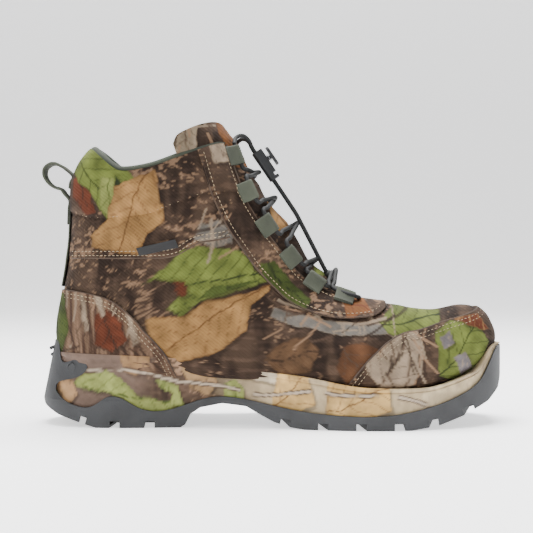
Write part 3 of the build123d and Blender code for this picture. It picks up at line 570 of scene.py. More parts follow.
STAY_LEAVES = [
    ([(64, 181), (76, 183), (79, 172), (68, 168)], CREAM, MID_BROWN, None),
    ([(96, 104), (106, 106), (118, 92), (130, 81), (124, 72), (110, 84), (97, 98)], DEEP_GREEN, SHADOW,
     ((102, 104), (126, 76))),
    ([(150, 85), (164, 84), (170, 74), (152, 70)], ORANGE, RUST, ((152, 82), (167, 74))),
]
TONGUE_LEAVES = [
    ([(40, 200), (58, 200), (56, 176), (48, 160), (36, 176)],
     (176, 156, 130), MID_BROWN, ((50, 198), (50, 166))),
    ([(66, 200), (86, 200), (96, 170), (80, 168)], ORANGE, TAN_VEIN, ((72, 198), (86, 172))),
    ([(100, 150), (112, 150), (122, 130), (108, 126)], TAN, TAN_VEIN, ((104, 150), (114, 128))),
    ([(124, 122), (140, 118), (150, 98), (134, 96)], GREEN, SHADOW, ((128, 120), (142, 98))),
]


def bark(x, z, seed, pale=0.0):
    """Bark ground of the print: dark stripes with tan flecks."""
    grain = fractal(x / 9 + 0.6 * fractal(x / 30, z / 30, seed + 9), z / 26, seed, 4)
    dark, mid, fleck = linear(DARK_BROWN), linear(MID_BROWN), linear(FLECK)
    amount = np.clip((grain - 0.38) * 4 + pale, 0, 1)[:, None]
    colour = dark * (1 - amount) + mid * amount
    dots = fractal(x / 2.6, z / 1.5, seed + 31, 2)
    field = fractal(x / 22, z / 18, seed + 5, 2)
    spots = np.clip((dots - 0.70 + 0.75 * (field - 0.52)) * 9, 0, 1)[:, None]
    rows = np.clip((fractal(x / 11, z / 2.2, seed + 51, 2) - 0.52) * 6, 0, 1)[:, None]
    colour = colour * (0.78 + 0.44 * rows)
    return colour * (1 - spots * 0.7) + fleck * spots * 0.7


def lay_leaves(colour, x, z, leaves, seed):
    """Leaves laid over the ground colour, with shadows, rims and veins."""
    wx = x + 3.2 * (fractal(x / 7, z / 7, seed + 3) - 0.5)
    wz = z + 3.2 * (fractal(x / 7, z / 7, seed + 17) - 0.5)
    for number, (outline, tone, vein_tone, vein) in enumerate(leaves):
        shade = outline_distance(wx - 1.6, wz + 2.0, outline)
        dark = np.clip(shade / 1.2 + 0.4, 0, 1)[:, None] * 0.55
        colour = colour * (1 - dark) + linear(DARK_BROWN) * 0.6 * dark
        inside = outline_distance(wx, wz, outline)
        cover = np.clip(inside / 0.5 + 0.5, 0, 1)[:, None]
        tint = 0.45 + 1.0 * fractal(x / 7, z / 7, seed + 40 + number, 4)
        leaf = linear(tone) * tint[:, None]
        lines = np.zeros(len(x))
        if vein:
            start, end = np.array(vein[0], float), np.array(vein[1], float)
            length = np.linalg.norm(end - start)
            forward = (end - start) / length
            u = (wx - start[0]) * forward[0] + (wz - start[1]) * forward[1]
            v = -(wx - start[0]) * forward[1] + (wz - start[1]) * forward[0]
            v = v + 1.5 * np.sin(u / length * 5)
            lines = np.clip(1.3 - np.abs(v) / 0.55, 0, 1)
            branch = np.abs((u - np.abs(v) * 0.9) / 9 % 1 - 0.5) * 9
            lines = np.maximum(lines, np.clip(1.2 - branch / 0.7, 0, 1) * 0.6)
        else:
            streak = fractal(x / 1.6, z / 5, seed + number, 2)
            lines = np.clip((streak - 0.6) * 6, 0, 1) * 0.7
        leaf = leaf * (1 - lines[:, None]) + linear(vein_tone) * lines[:, None]
        rim = np.clip(1 - inside / 0.9, 0, 1)[:, None] * 0.45
        leaf = leaf * (1 - rim) + linear(vein_tone) * 0.7 * rim
        colour = colour * (1 - cover) + leaf * cover
    return colour


def lay_twigs(colour, x, z, area, count, seed, lean=0.0):
    """Thin crossing twigs, dark and pale, scattered over a side-view box."""
    random = np.random.default_rng(seed)
    low_x, low_z, high_x, high_z = area
    for number in range(count):
        start = np.array([random.uniform(low_x, high_x), random.uniform(low_z, high_z)])
        turn = lean + random.normal(math.pi / 2, 0.55)
        length = random.uniform(12, 34)
        forward = np.array([math.cos(turn), math.sin(turn)])
        u = (x - start[0]) * forward[0] + (z - start[1]) * forward[1]
        v = -(x - start[0]) * forward[1] + (z - start[1]) * forward[0]
        v = v + 1.1 * np.sin(u / 6 + number)
        width = random.uniform(0.45, 0.95)
        tone = linear((CREAM, DARK_BROWN, MID_BROWN, FLECK)[number % 4])
        cover = np.clip((width - np.abs(v)) / 0.45 + 0.4, 0, 1) * (np.abs(u) < length / 2)
        cover = (cover * 0.8)[:, None]
        colour = colour * (1 - cover) + tone * cover
    return colour


def reeds(x, z):
    """Grey-beige reeds, the ground of the heel overlay."""
    stripe = fractal(x / 2.4 + z / 30, z / 40, 71, 3)
    low, high = linear((84, 62, 50)), linear((156, 124, 100))
    amount = np.clip((stripe - 0.35) * 3, 0, 1)[:, None]
    return low * (1 - amount) + high * amount


def midsole_print(x, z):
    """Moulded print of the midsole: bark, reeds and gold leaves with a pale branch."""
    base = bark(x, z, 83, 0.4)
    beige = linear((186, 166, 132)) * (0.75 + 0.5 * fractal(x / 3, z / 8, 5)[:, None])
    toward = np.clip((x - 60) / 40, 0, 1)[:, None]
    colour = base * (1 - toward) + beige * toward
    mauve = linear((112, 92, 80)) * (0.7 + 0.6 * fractal(x / 5, z / 3, 15)[:, None])
    rear = np.clip((30 - x) / 14, 0, 1)[:, None]
    colour = colour * (1 - rear) + mauve * rear
    leaves = [
        ([(-46, 30), (-36, 34), (-24, 30), (-20, 22), (-26, 14), (-38, 16)], (166, 130, 92), MID_BROWN, None),
        ([(8, 47), (27, 47), (28, 36), (18, 33), (10, 36)], (150, 116, 80), MID_BROWN, None),
        ([(-23.8, 28.5), (-15.1, 34.1), (-1.6, 36.6), (8, 31.6), (18.8, 21), (33.4, 17), (47.7, 16.6),
          (48.6, 10), (20.7, 9), (11.1, 17), (-3.5, 23), (-17.4, 24.6)],
         LIME, DEEP_GREEN, ((-22, 28), (46, 13))),
        ([(30.8, 30.3), (37.2, 31), (44.5, 26.2), (48, 14), (39, 14), (41.3, 21.4), (33.4, 25.2)],
         LIME, DEEP_GREEN, None),
        ([(46, 38), (60, 40), (70, 30), (64, 20), (52, 24)], (160, 128, 90), MID_BROWN, None),
        ([(74, 28), (81, 31), (86, 25), (87, 17), (74, 17)], LIME, DEEP_GREEN, None),
        ([(78, 42), (106, 37), (110, 28), (88, 31), (78, 34)], (206, 190, 162), CREAM, None),
        ([(104, 14), (108, 37), (128, 34), (132, 16), (118, 8)], GOLD, TAN_VEIN, ((106, 14), (126, 34))),
        ([(138, 8), (140, 31), (158, 29), (178, 27), (180, 12), (160, 6)],
         GOLD, TAN_VEIN, ((140, 12), (176, 25))),
        ([(196, 12), (202, 28), (230, 34), (246, 42), (240, 26), (222, 16)], (206, 186, 150), CREAM, None),
    ]
    colour = lay_leaves(colour, x, z, leaves, 91)
    branch = 34 - 0.09 * x + 3.0 * np.sin(x / 25 + 1.2) + 1.2 * np.sin(x / 9)
    away = np.abs(z - branch - 2 * (fractal(x / 8, z / 8, 7) - 0.5))
    broken = np.clip((fractal(x / 9, z / 9, 29) - 0.36) * 8, 0, 1)[:, None]
    outer = np.clip((1.9 - away) / 0.5, 0, 1)[:, None] * broken
    core = np.clip((1.0 - away) / 0.5, 0, 1)[:, None] * broken
    colour = colour * (1 - outer) + linear((84, 66, 54)) * outer
    return colour * (1 - core) + linear((196, 178, 156)) * core


MIRROR_AT, MIRROR_SCALE, MEDIAL_DROP = 214, 0.98, 4.0
MIDSOLE_GAIN, FABRIC_GAIN = 0.72, 0.47


def paint(obj, kind):
    """Write the print's colour on each point of a mesh."""
    mesh = obj.data
    count = len(mesh.vertices)
    co = np.zeros(count * 3)
    mesh.vertices.foreach_get("co", co)
    co = co.reshape(-1, 3) / MM
    medial = co[:, 1] > 2
    x = co[:, 0]
    z = co[:, 2] + np.where(medial, -MEDIAL_DROP, 0.0)
    if kind == "upper":
        x = np.where(medial, MIRROR_AT - x * MIRROR_SCALE, x)
        colour = lay_twigs(bark(x, z, 11), x, z, (100, 58, 185, 80), 16, 9, -1.2)
        colour = lay_leaves(colour, x, z, UPPER_LEAVES, 2)
        colour = lay_twigs(colour, x, z, (52, 112, 84, 134), 9, 12, -0.6)
        colour = lay_twigs(colour, x, z, (100, 58, 185, 78), 14, 13, -1.2)
    elif kind == "cap":
        colour = lay_leaves(bark(x, z, 23), x, z, CAP_LEAVES, 4)
        colour = lay_twigs(colour, x, z, (162, 26, 204, 62), 26, 5, 0.3)
    elif kind == "heel":
        colour = lay_twigs(reeds(x, z), x, z, (-44, 40, 34, 88), 30, 7)
        colour = lay_leaves(colour, x, z, HEEL_LEAVES, 6)
    elif kind == "stay":
        colour = lay_leaves(bark(x, z, 37, 0.1), x, z, STAY_LEAVES, 8)
    elif kind == "tongue":
        colour = lay_leaves(bark(x, z, 51), x, z, TONGUE_LEAVES, 10)
        colour = lay_twigs(colour, x, z, (38, 165, 72, 200), 14, 15, -0.4)
    else:
        colour = midsole_print(co[:, 0], co[:, 2])
    rgba = np.ones((count, 4))
    gain = MIDSOLE_GAIN if kind == "midsole" else FABRIC_GAIN
    rgba[:, :3] = np.clip(gain * colour, 0, 1)
    layer = mesh.color_attributes.new("print", "FLOAT_COLOR", "POINT")
    layer.data.foreach_set("color", rgba.ravel())


# ---------------------------------------------------------------- materials
def material(name, colour, roughness=0.8):
    """New principled material, with its node tree and shader."""
    mat = bpy.data.materials.new(name)
    mat.use_nodes = True
    shader = mat.node_tree.nodes["Principled BSDF"]
    shader.inputs["Base Color"].default_value = (*linear(colour), 1)
    shader.inputs["Roughness"].default_value = roughness
    return mat, mat.node_tree, shader


def node(tree, kind, **values):
    """New node with its input values set by name."""
    made = tree.nodes.new(kind)
    for key, value in values.items():
        made.inputs[key.replace("_", " ")].default_value = value
    return made


def add_bump(tree, shader, heights, distance=0.0004):
    """Bump from the sum of height outputs with weights."""
    total = None
    for output, weight in heights:
        scaled = tree.nodes.new("ShaderNodeMath")
        scaled.operation = "MULTIPLY_ADD"
        tree.links.new(output, scaled.inputs[0])
        scaled.inputs[1].default_value = weight
        scaled.inputs[2].default_value = 0
        if total is not None:
            tree.links.new(total, scaled.inputs[2])
        total = scaled.outputs[0]
    bump = node(tree, "ShaderNodeBump", Strength=0.6, Distance=distance)
    tree.links.new(total, bump.inputs["Height"])
    tree.links.new(bump.outputs["Normal"], shader.inputs["Normal"])


def twill(tree, pitch):
    """Diagonal twill ribs in object space."""
    place = tree.nodes.new("ShaderNodeTexCoord")
    turned = tree.nodes.new("ShaderNodeMapping")
    turned.inputs["Rotation"].default_value = (0, 0.9, 0)
    tree.links.new(place.outputs["Object"], turned.inputs["Vector"])
    wave = node(tree, "ShaderNodeTexWave", Scale=0.314 / pitch / 2, Distortion=0.6, Detail=1.0)
    wave.inputs["Detail Scale"].default_value = 3.0
    tree.links.new(turned.outputs["Vector"], wave.inputs["Vector"])
    return place, wave


def fabric_material(name, roughness=0.9, weave=0.0009):
    """Printed cloth with twill ribs, fuzz and uneven wear."""
    mat, tree, shader = material(name, (110, 110, 90), roughness)
    place, wave = twill(tree, weave)
    noise = node(tree, "ShaderNodeTexNoise", Scale=900.0, Detail=3.0)
    wear = node(tree, "ShaderNodeTexNoise", Scale=60.0, Detail=4.0)
    for texture in (noise, wear):
        tree.links.new(place.outputs["Object"], texture.inputs["Vector"])
    colour = tree.nodes.new("ShaderNodeAttribute")
    colour.attribute_name = "print"
    mixed = tree.nodes.new("ShaderNodeHueSaturation")
    ramp = node(tree, "ShaderNodeMapRange", From_Min=0.3, From_Max=0.7, To_Min=0.82, To_Max=1.2)
    tree.links.new(wear.outputs["Fac"], ramp.inputs["Value"])
    tree.links.new(ramp.outputs["Result"], mixed.inputs["Value"])
    tree.links.new(colour.outputs["Color"], mixed.inputs["Color"])
    tree.links.new(mixed.outputs["Color"], shader.inputs["Base Color"])
    shader.inputs["Specular IOR Level"].default_value = 0.16
    heights = [(wave.outputs["Fac"], 0.5), (noise.outputs["Fac"], 0.6), (wear.outputs["Fac"], 0.8)]
    add_bump(tree, shader, heights)
    return mat


def plain_material(name, colour, roughness, scale, depth, metallic=0.0):
    """Plain material with a fine noise surface and slight colour variation."""
    mat, tree, shader = material(name, colour, roughness)
    shader.inputs["Metallic"].default_value = metallic
    place = tree.nodes.new("ShaderNodeTexCoord")
    noise = node(tree, "ShaderNodeTexNoise", Scale=scale, Detail=4.0)
    broad = node(tree, "ShaderNodeTexNoise", Scale=45.0, Detail=5.0)
    for texture in (noise, broad):
        tree.links.new(place.outputs["Object"], texture.inputs["Vector"])
    mix = tree.nodes.new("ShaderNodeMix")
    mix.data_type = "RGBA"
    mix.inputs["A"].default_value = (*linear(colour), 1)
    mix.inputs["B"].default_value = (*linear([c * 0.72 for c in colour]), 1)
    ramp = node(tree, "ShaderNodeMapRange", From_Min=0.42, From_Max=0.7)
    tree.links.new(broad.outputs["Fac"], ramp.inputs["Value"])
    tree.links.new(ramp.outputs["Result"], mix.inputs["Factor"])
    tree.links.new(mix.outputs["Result"], shader.inputs["Base Color"])
    add_bump(tree, shader, [(noise.outputs["Fac"], 1.0)], depth)
    return mat


CAMO = fabric_material("camo_print")
MIDSOLE = fabric_material("midsole_print", 0.62, 0.002)
WEBBING = plain_material("webbing_weave", (66, 70, 57), 0.88, 1400.0, 0.0003)
LINING = plain_material("lining_knit", (74, 86, 72), 0.9, 1100.0, 0.0004)
BINDING = plain_material("binding_knit", (50, 56, 44), 0.9, 1100.0, 0.0004)
CORD = plain_material("cord_braid", (13, 14, 14), 0.75, 1900.0, 0.0003)
PLASTIC = plain_material("lock_plastic", (26, 26, 28), 0.42, 900.0, 0.0001)
STEEL = plain_material("spring_steel", (190, 190, 195), 0.3, 700.0, 0.00005, 1.0)
RUBBER = plain_material("outsole_rubber", (48, 49, 51), 0.62, 1000.0, 0.0002)
THREAD = plain_material("stitch_thread", (172, 152, 122), 0.8, 3000.0, 0.0001)
EDGE = plain_material("folded_edge", (70, 54, 42), 0.88, 1200.0, 0.0003)
LABEL = plain_material("label_cloth", (18, 18, 20), 0.6, 2200.0, 0.0002)
INNER = plain_material("inner_layers", (150, 146, 136), 0.8, 500.0, 0.0003)


def dress(obj, mat):
    """Give an object one material."""
    obj.data.materials.clear()
    obj.data.materials.append(mat)
    return obj


NODE_MATERIALS = {
    "outsole_rubber": RUBBER, "midsole_foam": MIDSOLE, "camo_fabric": EDGE, "lining_cloth": LINING,
    "webbing": WEBBING, "cord": CORD, "lock_plastic": PLASTIC, "spring_steel": STEEL, "shank_steel": STEEL,
    "board": INNER, "stiffener": INNER, "foam": LINING, "insulation": INNER, "membrane": LINING,
    "label_cloth": LABEL,
}
for subpart in frame["record"]["subparts"]:
    mesh = frame["nodes"][subpart["node"]].data
    for index in range(max(len(mesh.materials), 1)):
        if index < len(mesh.materials):
            mesh.materials[index] = NODE_MATERIALS[subpart["material_slot"]]
        else:
            mesh.materials.append(NODE_MATERIALS[subpart["material_slot"]])

# ---------------------------------------------------------------- spring of the cord lock
LOCK_TOP = np.array([93.4, 0, 179.1])
LOCK_DIR = unit(np.array([TAIL_BEND[0], 0, TAIL_BEND[1]]) - LOCK_TOP)
LOCK_OUT = np.array([-LOCK_DIR[2], 0, LOCK_DIR[0]])
spring_base = LOCK_TOP + LOCK_DIR * 8 + LOCK_OUT * 2.25
spring_line = [
    spring_base + 2.3 * (math.cos(t) * LOCK_DIR + math.sin(t) * np.array([0, 1, 0])) + LOCK_OUT * 0.213 * t
    for t in np.linspace(0, 7 * math.pi, 130)]
spring = dress(tube_object("lock_spring", spring_line, 0.25, "cord_lock"), STEEL)
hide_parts("cord_lock_spring")
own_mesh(spring)

# ---------------------------------------------------------------- cord tails
for word, side in (("lateral", -1), ("medial", 1)):
    route = [loop_end(0, side, -1, 1.25)]
    for x, y, z in TAIL_ARCH + [(TAIL_BEND[0], 2.1, TAIL_BEND[1]), (KNOT[0], 1.45, KNOT[1])]:
        route.append(np.array([x, side * y, z]))
    curve = bpy.data.curves.new(f"tail_{word}", "CURVE")
    curve.dimensions = "3D"
    spline = curve.splines.new("NURBS")
    long_start = route[4] + (route[5] - route[4]) * 0.12
    extra_end = route[5] + (route[6] - route[5]) * 0.12
    points = route[:5] + [long_start, route[5], extra_end, route[6]]
    spline.points.add(len(points) - 1)
    for place, point in zip(spline.points, points):
        place.co = (*[float(v) * MM for v in point], 1)
        place.radius = CORD_DIA / 2 * MM
    spline.order_u = 3
    spline.use_endpoint_u = True
    curve.bevel_depth = 1.0
    curve.bevel_resolution = 4
    curve.use_fill_caps = True
    tail = link(f"tail_{word}", curve, "boot")
    dress(tail, CORD)
    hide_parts(f"lace_tail_{word}")

# ---------------------------------------------------------------- lace through the loops
lace_route = strand(-1) + strand(1)[::-1]
lace = dress(tube_object("lace_braid", smooth(lace_route, 1.6), CORD_DIA / 2, "boot", 12), CORD)
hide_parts("lace")


# ---------------------------------------------------------------- upper panels
def height_table(line):
    """A side-view line as heights over x."""
    points = smooth(line, 2)
    order = np.argsort(points[:, 0])
    return points[order, 0], points[order, 1]


STITCH_HEIGHTS = height_table(COLLAR_STITCH)
COLLAR_HEIGHTS = height_table(COLLAR_LINE)
SEAM_HEIGHTS = height_table(MID_SEAM)


def seam_distance(x, z, table):
    """Signed height above a side-view line at x."""
    return z - np.interp(x, *table)


def collar_puff(points):
    """Outward bulge of the padded collar, quilted at its stitch line, with soft wrinkles."""
    x, y, z = points.T
    above = seam_distance(x, z, STITCH_HEIGHTS)
    below_top = -seam_distance(x, z, COLLAR_HEIGHTS)
    rise = np.clip(above / 9, 0, 1)
    roll = np.clip(below_top / 8, 0, 1)
    bulge = 1.7 * np.sqrt(rise * (2 - rise)) * np.sqrt(roll * (2 - roll) * 0.8 + 0.2)
    groove = -0.7 * np.exp(-(above / 1.6)**2)
    wrinkle = 0.9 * (fractal(x / 17, z / 9 + np.sign(y) * 5, 61, 3) - 0.5) * np.clip((z - 60) / 50, 0.25, 1)
    seam = -0.5 * np.exp(-(seam_distance(x, z, SEAM_HEIGHTS) / 1.8)**2)
    return np.where(above > 0, bulge, 0) + groove + wrinkle + seam


def body_puff(points):
    """Slight unevenness of the lower fabric, with a crease behind the flex line."""
    x, y, z = points.T
    soft = 1.0 * (fractal(x / 20, z / 13 + np.sign(y) * 3, 67, 3) - 0.5)
    flex = -0.55 * np.exp(-((x - 150 + (z - 50) * 0.5) / 5)**2) * np.clip((z - 35) / 20, 0, 1)
    return soft + flex


def stay_puff(points):
    """Padding of the eyestay, which follows the collar under it."""
    return collar_puff(points) + 0.15


def overlay_puff(points):
    """Slight unevenness of the overlays."""
    x, y, z = points.T
    return 0.7 * (fractal(x / 16, z / 12 + np.sign(y) * 2, 77, 3) - 0.5)


BELOW = [(300, 190), (300, -20), (-90, -20), (-90, 185)]
THROAT = region(("curve", FRONT_EDGE), ("line", [(178, 100), (150, 215), (62, 215)]))
LAYER_TOP = region(("curve", COLLAR_LINE), ("line", BELOW))
ABOVE_SEAM = region(("curve", MID_SEAM), ("line", [(240, 240), (-90, 240)]))
UNDER_SEAM = region(
    ("curve", [(x, z + 4) for x, z in MID_SEAM]), ("line", [(300, 90), (300, -20), (-90, -20)]))
STAY = region(("curve", STAY_EDGE), ("line", [(181, 120), (120, 215), (54, 215)]))
CAP = region(("curve", TOE_CAP_EDGE), ("line", [(300, 84), (300, 15)]))
HEEL = region(("curve", HEEL_EDGE), ("line", [(44, 10), (-60, 10), (-60, 88)]))
TONGUE = region(("curve", TONGUE_BACK), ("line", [(150, 120), (120, 215)]), ("curve", TONGUE_TOP[::-1]))

vamp = panel("vamp_fabric", 0.1, 1.3, "boot", [UNDER_SEAM], [THROAT], body_puff)
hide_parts("vamp")
shaft = panel("shaft_fabric", -0.55, 1.4, "boot", [ABOVE_SEAM, LAYER_TOP], [THROAT], collar_puff)
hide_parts("shaft_lateral", "shaft_medial")
stay = panel("eyestay_fabric", -1.5, 0.4, "boot", [STAY, LAYER_TOP], [THROAT], stay_puff)
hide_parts("eyestay_lateral", "eyestay_medial")
cap = panel("toe_cap_fabric", -1.25, 0.5, "boot", [CAP], (), overlay_puff)
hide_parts("toe_cap")
heel = panel("heel_fabric", -1.25, 0.5, "boot", [HEEL], (), overlay_puff)
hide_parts("heel_overlay")


def tongue_puff(points):
    """Padding of the tongue: full in its middle, pressed down under the laces."""
    x, y, z = points.T
    heights = [(80, 0.3), (87, 1.0), (96, 4.4), (107, 2.9), (118, 4.2), (131, 3.6), (139, 1.6), (148, 0.5),
               (157, 2.0), (165, 0.9), (175, 1.6), (190, 1.4)]
    full = np.interp(z, *zip(*heights)) * np.exp(-(np.abs(y) / 10)**2) * np.clip((x - 75) / 10, 0, 1)
    pressed = np.zeros(len(x))
    for a, b in CROSSINGS:
        pressed -= 1.1 * np.exp(-(((x - a) * 0.6 + (z - b) * 0.8) / 5)**2)
    top = 1.4 * np.clip((z - 172) / 14, 0, 1)
    return full + pressed * 0.3 + top + 0.7 * (fractal(x / 9, z / 9 + y / 30, 88, 3) - 0.5)


tongue = panel("tongue_pad", 0.3, 10.5, "boot", [TONGUE], (), tongue_puff)
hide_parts("tongue")

printed = [
    (vamp, "upper"), (shaft, "upper"), (stay, "stay"), (cap, "cap"), (heel, "heel"), (tongue, "tongue")]
for obj, kind in printed:
    paint(obj, kind)
    dress(obj, CAMO)


# ---------------------------------------------------------------- edges and stitching
def puffed(x, z, side, depth, puff):
    """Point on a puffed layer of the upper at a side-view place."""
    base = on_upper(x, z, side, depth)
    return base + upper_normal(x, z, side, depth) * float(puff(base[None, :])[0])


def surface_line(line, side, depth, limit, puff):
    """Points on the upper along a side-view line; limit keeps those it returns true for."""
    return np.array([puffed(x, z, side, depth, puff) for x, z in smooth(line) if limit(x, z)])


def offset_line(line, amount):
    """Side-view line moved to the left of its travel."""
    points = smooth(line, 2)
    return points + line_normals(points) * amount


def below_collar(x, z):
    """Whether a side-view place lies under the collar line."""
    return seam_distance(x, z, COLLAR_HEIGHTS) < -1.0


STITCH_PITCH = 2.7
STITCH_SIDES = 6
# Rings of one stitch: place along it, radius and lift, mm
STITCH_RINGS = [(-0.9, 0.08, -0.2), (-0.6, 0.18, 0.06), (0, 0.21, 0.13), (0.6, 0.18, 0.06), (0.9, 0.08, -0.2)]


def stitch_run(name, line, side, depth, limit, puff):
    """Row of thread stitches lying along a side-view line."""
    places = smooth(line, 0.5)
    lengths = np.concatenate([[0], np.cumsum(np.linalg.norm(np.diff(places, axis=0), axis=1))])
    points, faces = [], []
    turns = np.radians(np.arange(STITCH_SIDES) * 60)
    stitch = grid_faces(len(STITCH_RINGS), STITCH_SIDES, True)
    for start in np.arange(1, lengths[-1] - STITCH_PITCH, STITCH_PITCH):
        at = start + STITCH_PITCH / 2
        centre, ahead = [
            np.array([np.interp(reach, lengths, places[:, i]) for i in (0, 1)]) for reach in (at, at + 0.6)]
        if not limit(*centre):
            continue
        middle = puffed(*centre, side, depth, puff)
        forward = puffed(*ahead, side, depth, puff)
        normal = upper_normal(*centre, side, depth)
        along = unit(forward - middle)
        across = np.cross(normal, along)
        base = len(points)
        for reach, radius, lift in STITCH_RINGS:
            for turn in turns:
                points.append(middle + along * reach + normal * (lift + radius * math.sin(turn))
                              + across * radius * math.cos(turn))
        faces += [tuple(base + corner for corner in face) for face in stitch]
        end = len(points)
        faces.append(tuple(range(base, base + STITCH_SIDES)))
        faces.append(tuple(range(end - STITCH_SIDES, end)))
    stitches = mesh_object(name, points, faces, "boot", 60)
    return dress(stitches, THREAD)


STAY_POINTS = smooth(STAY_EDGE, 2)


def outside_stay(x, z):
    """Whether a place is on the shaft side of the eyestay's edge."""
    if z <= 71:
        return True
    return x < np.interp(z, STAY_POINTS[::-1, 1], STAY_POINTS[::-1, 0]) - 2


def into_throat(x, z):
    """How far a side-view place lies inside the throat; less than 0 outside it."""
    return outline_distance(np.array([x]), np.array([z]), THROAT)[0]


def in_form(x, z):
    """Whether a side-view place lies on the upper, clear of its outline."""
    s, fraction = locate(x, z, 0)
    return 0.012 < fraction < 0.988 and 0.05 < s < len(STATIONS) - 1.2


def on_shaft(x, z):
    """Whether a place lies on the upper behind the eyestay."""
    return in_form(x, z) and outside_stay(x, z)


def on_stay(x, z):
    """Whether a place lies on the eyestay, clear of collar and throat."""
    return below_collar(x, z) and into_throat(x, z) < -1.2 and in_form(x, z)


def on_front(x, z):
    """Whether a place of the front edge lies on the upper."""
    return below_collar(x, z) and in_form(x, z)


for word, side in (("lateral", -1), ("medial", 1)):
    rows = [
        ("collar", COLLAR_STITCH, -0.55, on_shaft, collar_puff),
        ("seam_a", offset_line(MID_SEAM, 1.6), -0.6, on_shaft, collar_puff),
        ("seam_b", offset_line(MID_SEAM, 4.3), -0.6, on_shaft, collar_puff),
        ("heel_a", offset_line(HEEL_EDGE, -2.0), -1.3, in_form, overlay_puff),
        ("heel_b", offset_line(HEEL_EDGE, -4.6), -1.3, in_form, overlay_puff),
        ("stay", offset_line(STAY_EDGE, 2.6), -1.55, on_stay, stay_puff),
        ("front", offset_line(FRONT_EDGE, -2.2), -1.55, below_collar, stay_puff),
        ("cap_a", offset_line(TOE_CAP_EDGE, -2.0), -1.3, in_form, overlay_puff),
        ("cap_b", offset_line(TOE_CAP_EDGE, -4.6), -1.3, in_form, overlay_puff),
    ]
    for name, line, depth, limit, puff in rows:
        stitch_run(f"stitch_{name}_{word}", line, side, depth, limit, puff)
    edges = [
        ("seam", MID_SEAM, 0.0, on_shaft, collar_puff),
        ("heel", HEEL_EDGE, -0.65, in_form, overlay_puff),
        ("stay", STAY_EDGE, -0.85, on_stay, stay_puff),
        ("front", FRONT_EDGE, -0.7, on_front, stay_puff),
        ("cap", TOE_CAP_EDGE, -0.65, in_form, overlay_puff),
    ]
    for name, line, depth, limit, puff in edges:
        points = surface_line(line, side, depth, limit, puff)
        dress(tube_object(f"edge_{name}_{word}", points, 0.7, "boot"), EDGE)

# ---------------------------------------------------------------- collar binding
collar = [(x, z) for x, z in smooth(COLLAR_LINE) if in_form(x, z) and into_throat(x, z) < 0.5]
medial_side = [on_upper(x, z, 1, 2.4) for x, z in collar[::-1]]
lateral_side = [on_upper(x, z, -1, 2.4) for x, z in collar]
rim = np.array(medial_side + lateral_side)
binding = tube_object("collar_roll", rim, 3.1, "boot", 16)
dress(binding, BINDING)
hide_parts("collar_binding")

# ---------------------------------------------------------------- webbing
def band_object(name, profile, frames, half_width, thickness, body):
    """Ribbed webbing band: a centreline of points with outward directions, carried across."""
    columns = np.linspace(-1, 1, 17)
    points = []
    count = len(profile)
    for face in (1, -1):
        for point, (outward, across) in zip(profile, frames):
            for index, column in enumerate(columns):
                rib = 0.22 if index % 2 else -0.08
                round_off = 0.35 * abs(column)**8
                lift = face * (thickness / 2 + rib * 0.8 - round_off)
                points.append(point + outward * lift + across * column * half_width)
    width = len(columns)
    top = grid_faces(count, width, False)
    faces = top + [tuple(count * width + i for i in face[::-1]) for face in top]
    for row in range(count - 1):
        for column in (0, width - 1):
            a, b = row * width + column, (row + 1) * width + column
            faces.append((a, b, b + count * width, a + count * width))
    for column in range(width - 1):
        for row in (0, count - 1):
            a, b = row * width + column, row * width + column + 1
            faces.append((a, b, b + count * width, a + count * width))
    return mesh_object(name, points, faces, body, 60)


def side_band(name, line, step, half_width, thickness, body):
    """Webbing band whose centreline lies in the boot's middle plane."""
    line = smooth(line, step)
    spots = [np.array([x, 0, z]) for x, z in line]
    frames = [(np.array([n[0], 0, n[1]]), np.array([0, 1.0, 0])) for n in line_normals(line)]
    return dress(band_object(name, spots, frames, half_width, thickness, body), WEBBING)


for word, side in (("lateral", -1), ("medial", 1)):
    for index in range(len(LOOPS)):
        seat, axis, normal, inward = loop_frame(index, side)
        flat = [(-7.0, 0.5), (-5.0, 0.55), (-2.5, 0.75), (-0.6, 1.05)]
        around = [(BORE_IN + 2.25 * math.cos(a), BORE_UP + 2.25 * math.sin(a))
                  for a in np.radians(np.arange(-70, 150, 14))]
        back_down = [(-2.2, 3.1), (-5.2, 1.75), (-7.2, 1.35)]
        line = np.array(smooth(flat + around + back_down, 0.8))
        normals_2d = line_normals(line)
        spots = [seat + inward * u + normal * v for u, v in line]
        frames = [(inward * n[0] + normal * n[1], axis) for n in normals_2d]
        loop = band_object(f"loop_{word}_{index + 1}", spots, frames, LOOP_HALF - 0.1, 1.0, "boot")
        dress(loop, WEBBING)
        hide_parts(f"lace_loop_{word}_{index + 1}")

PULL_LINE = [
    (-36.1, 170.0), (-39.8, 171.7), (-43.4, 171.4), (-46.8, 168.6), (-47.4, 164.4),
    (-45.7, 160.4), (-43, 157.5), (-39.8, 155.6), (-36.1, 154.6),
]


def back_at(z):
    """X of the back seam's outer face at a height."""
    return float(np.interp(z, BACKS[8:0:-1, 1], BACKS[8:0:-1, 0])) - 2.1


pull = [(back_at(z), z) for z in (131, 136, 142, 147)] + [(-33.6, 151.4)] + PULL_LINE[::-1]
pull += [(-33.0, 168.0)] + [(back_at(z) - 0.4, z) for z in (163, 159, 155)]
pull_band = side_band("pull_band", pull, 1.2, 7.0, 1.7, None)
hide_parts("pull_loop", "pull_loop_stitch_upper", "pull_loop_stitch_lower")
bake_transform(pull_band)

strip_line = [(back_at(z) + 1.0, z) for z in (90, 100, 110, 120, 130, 140, 150, 160, 168, 176)]
strip = side_band("back_band", strip_line, 2, 7.2, 1.3, "boot")
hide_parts("back_strip")

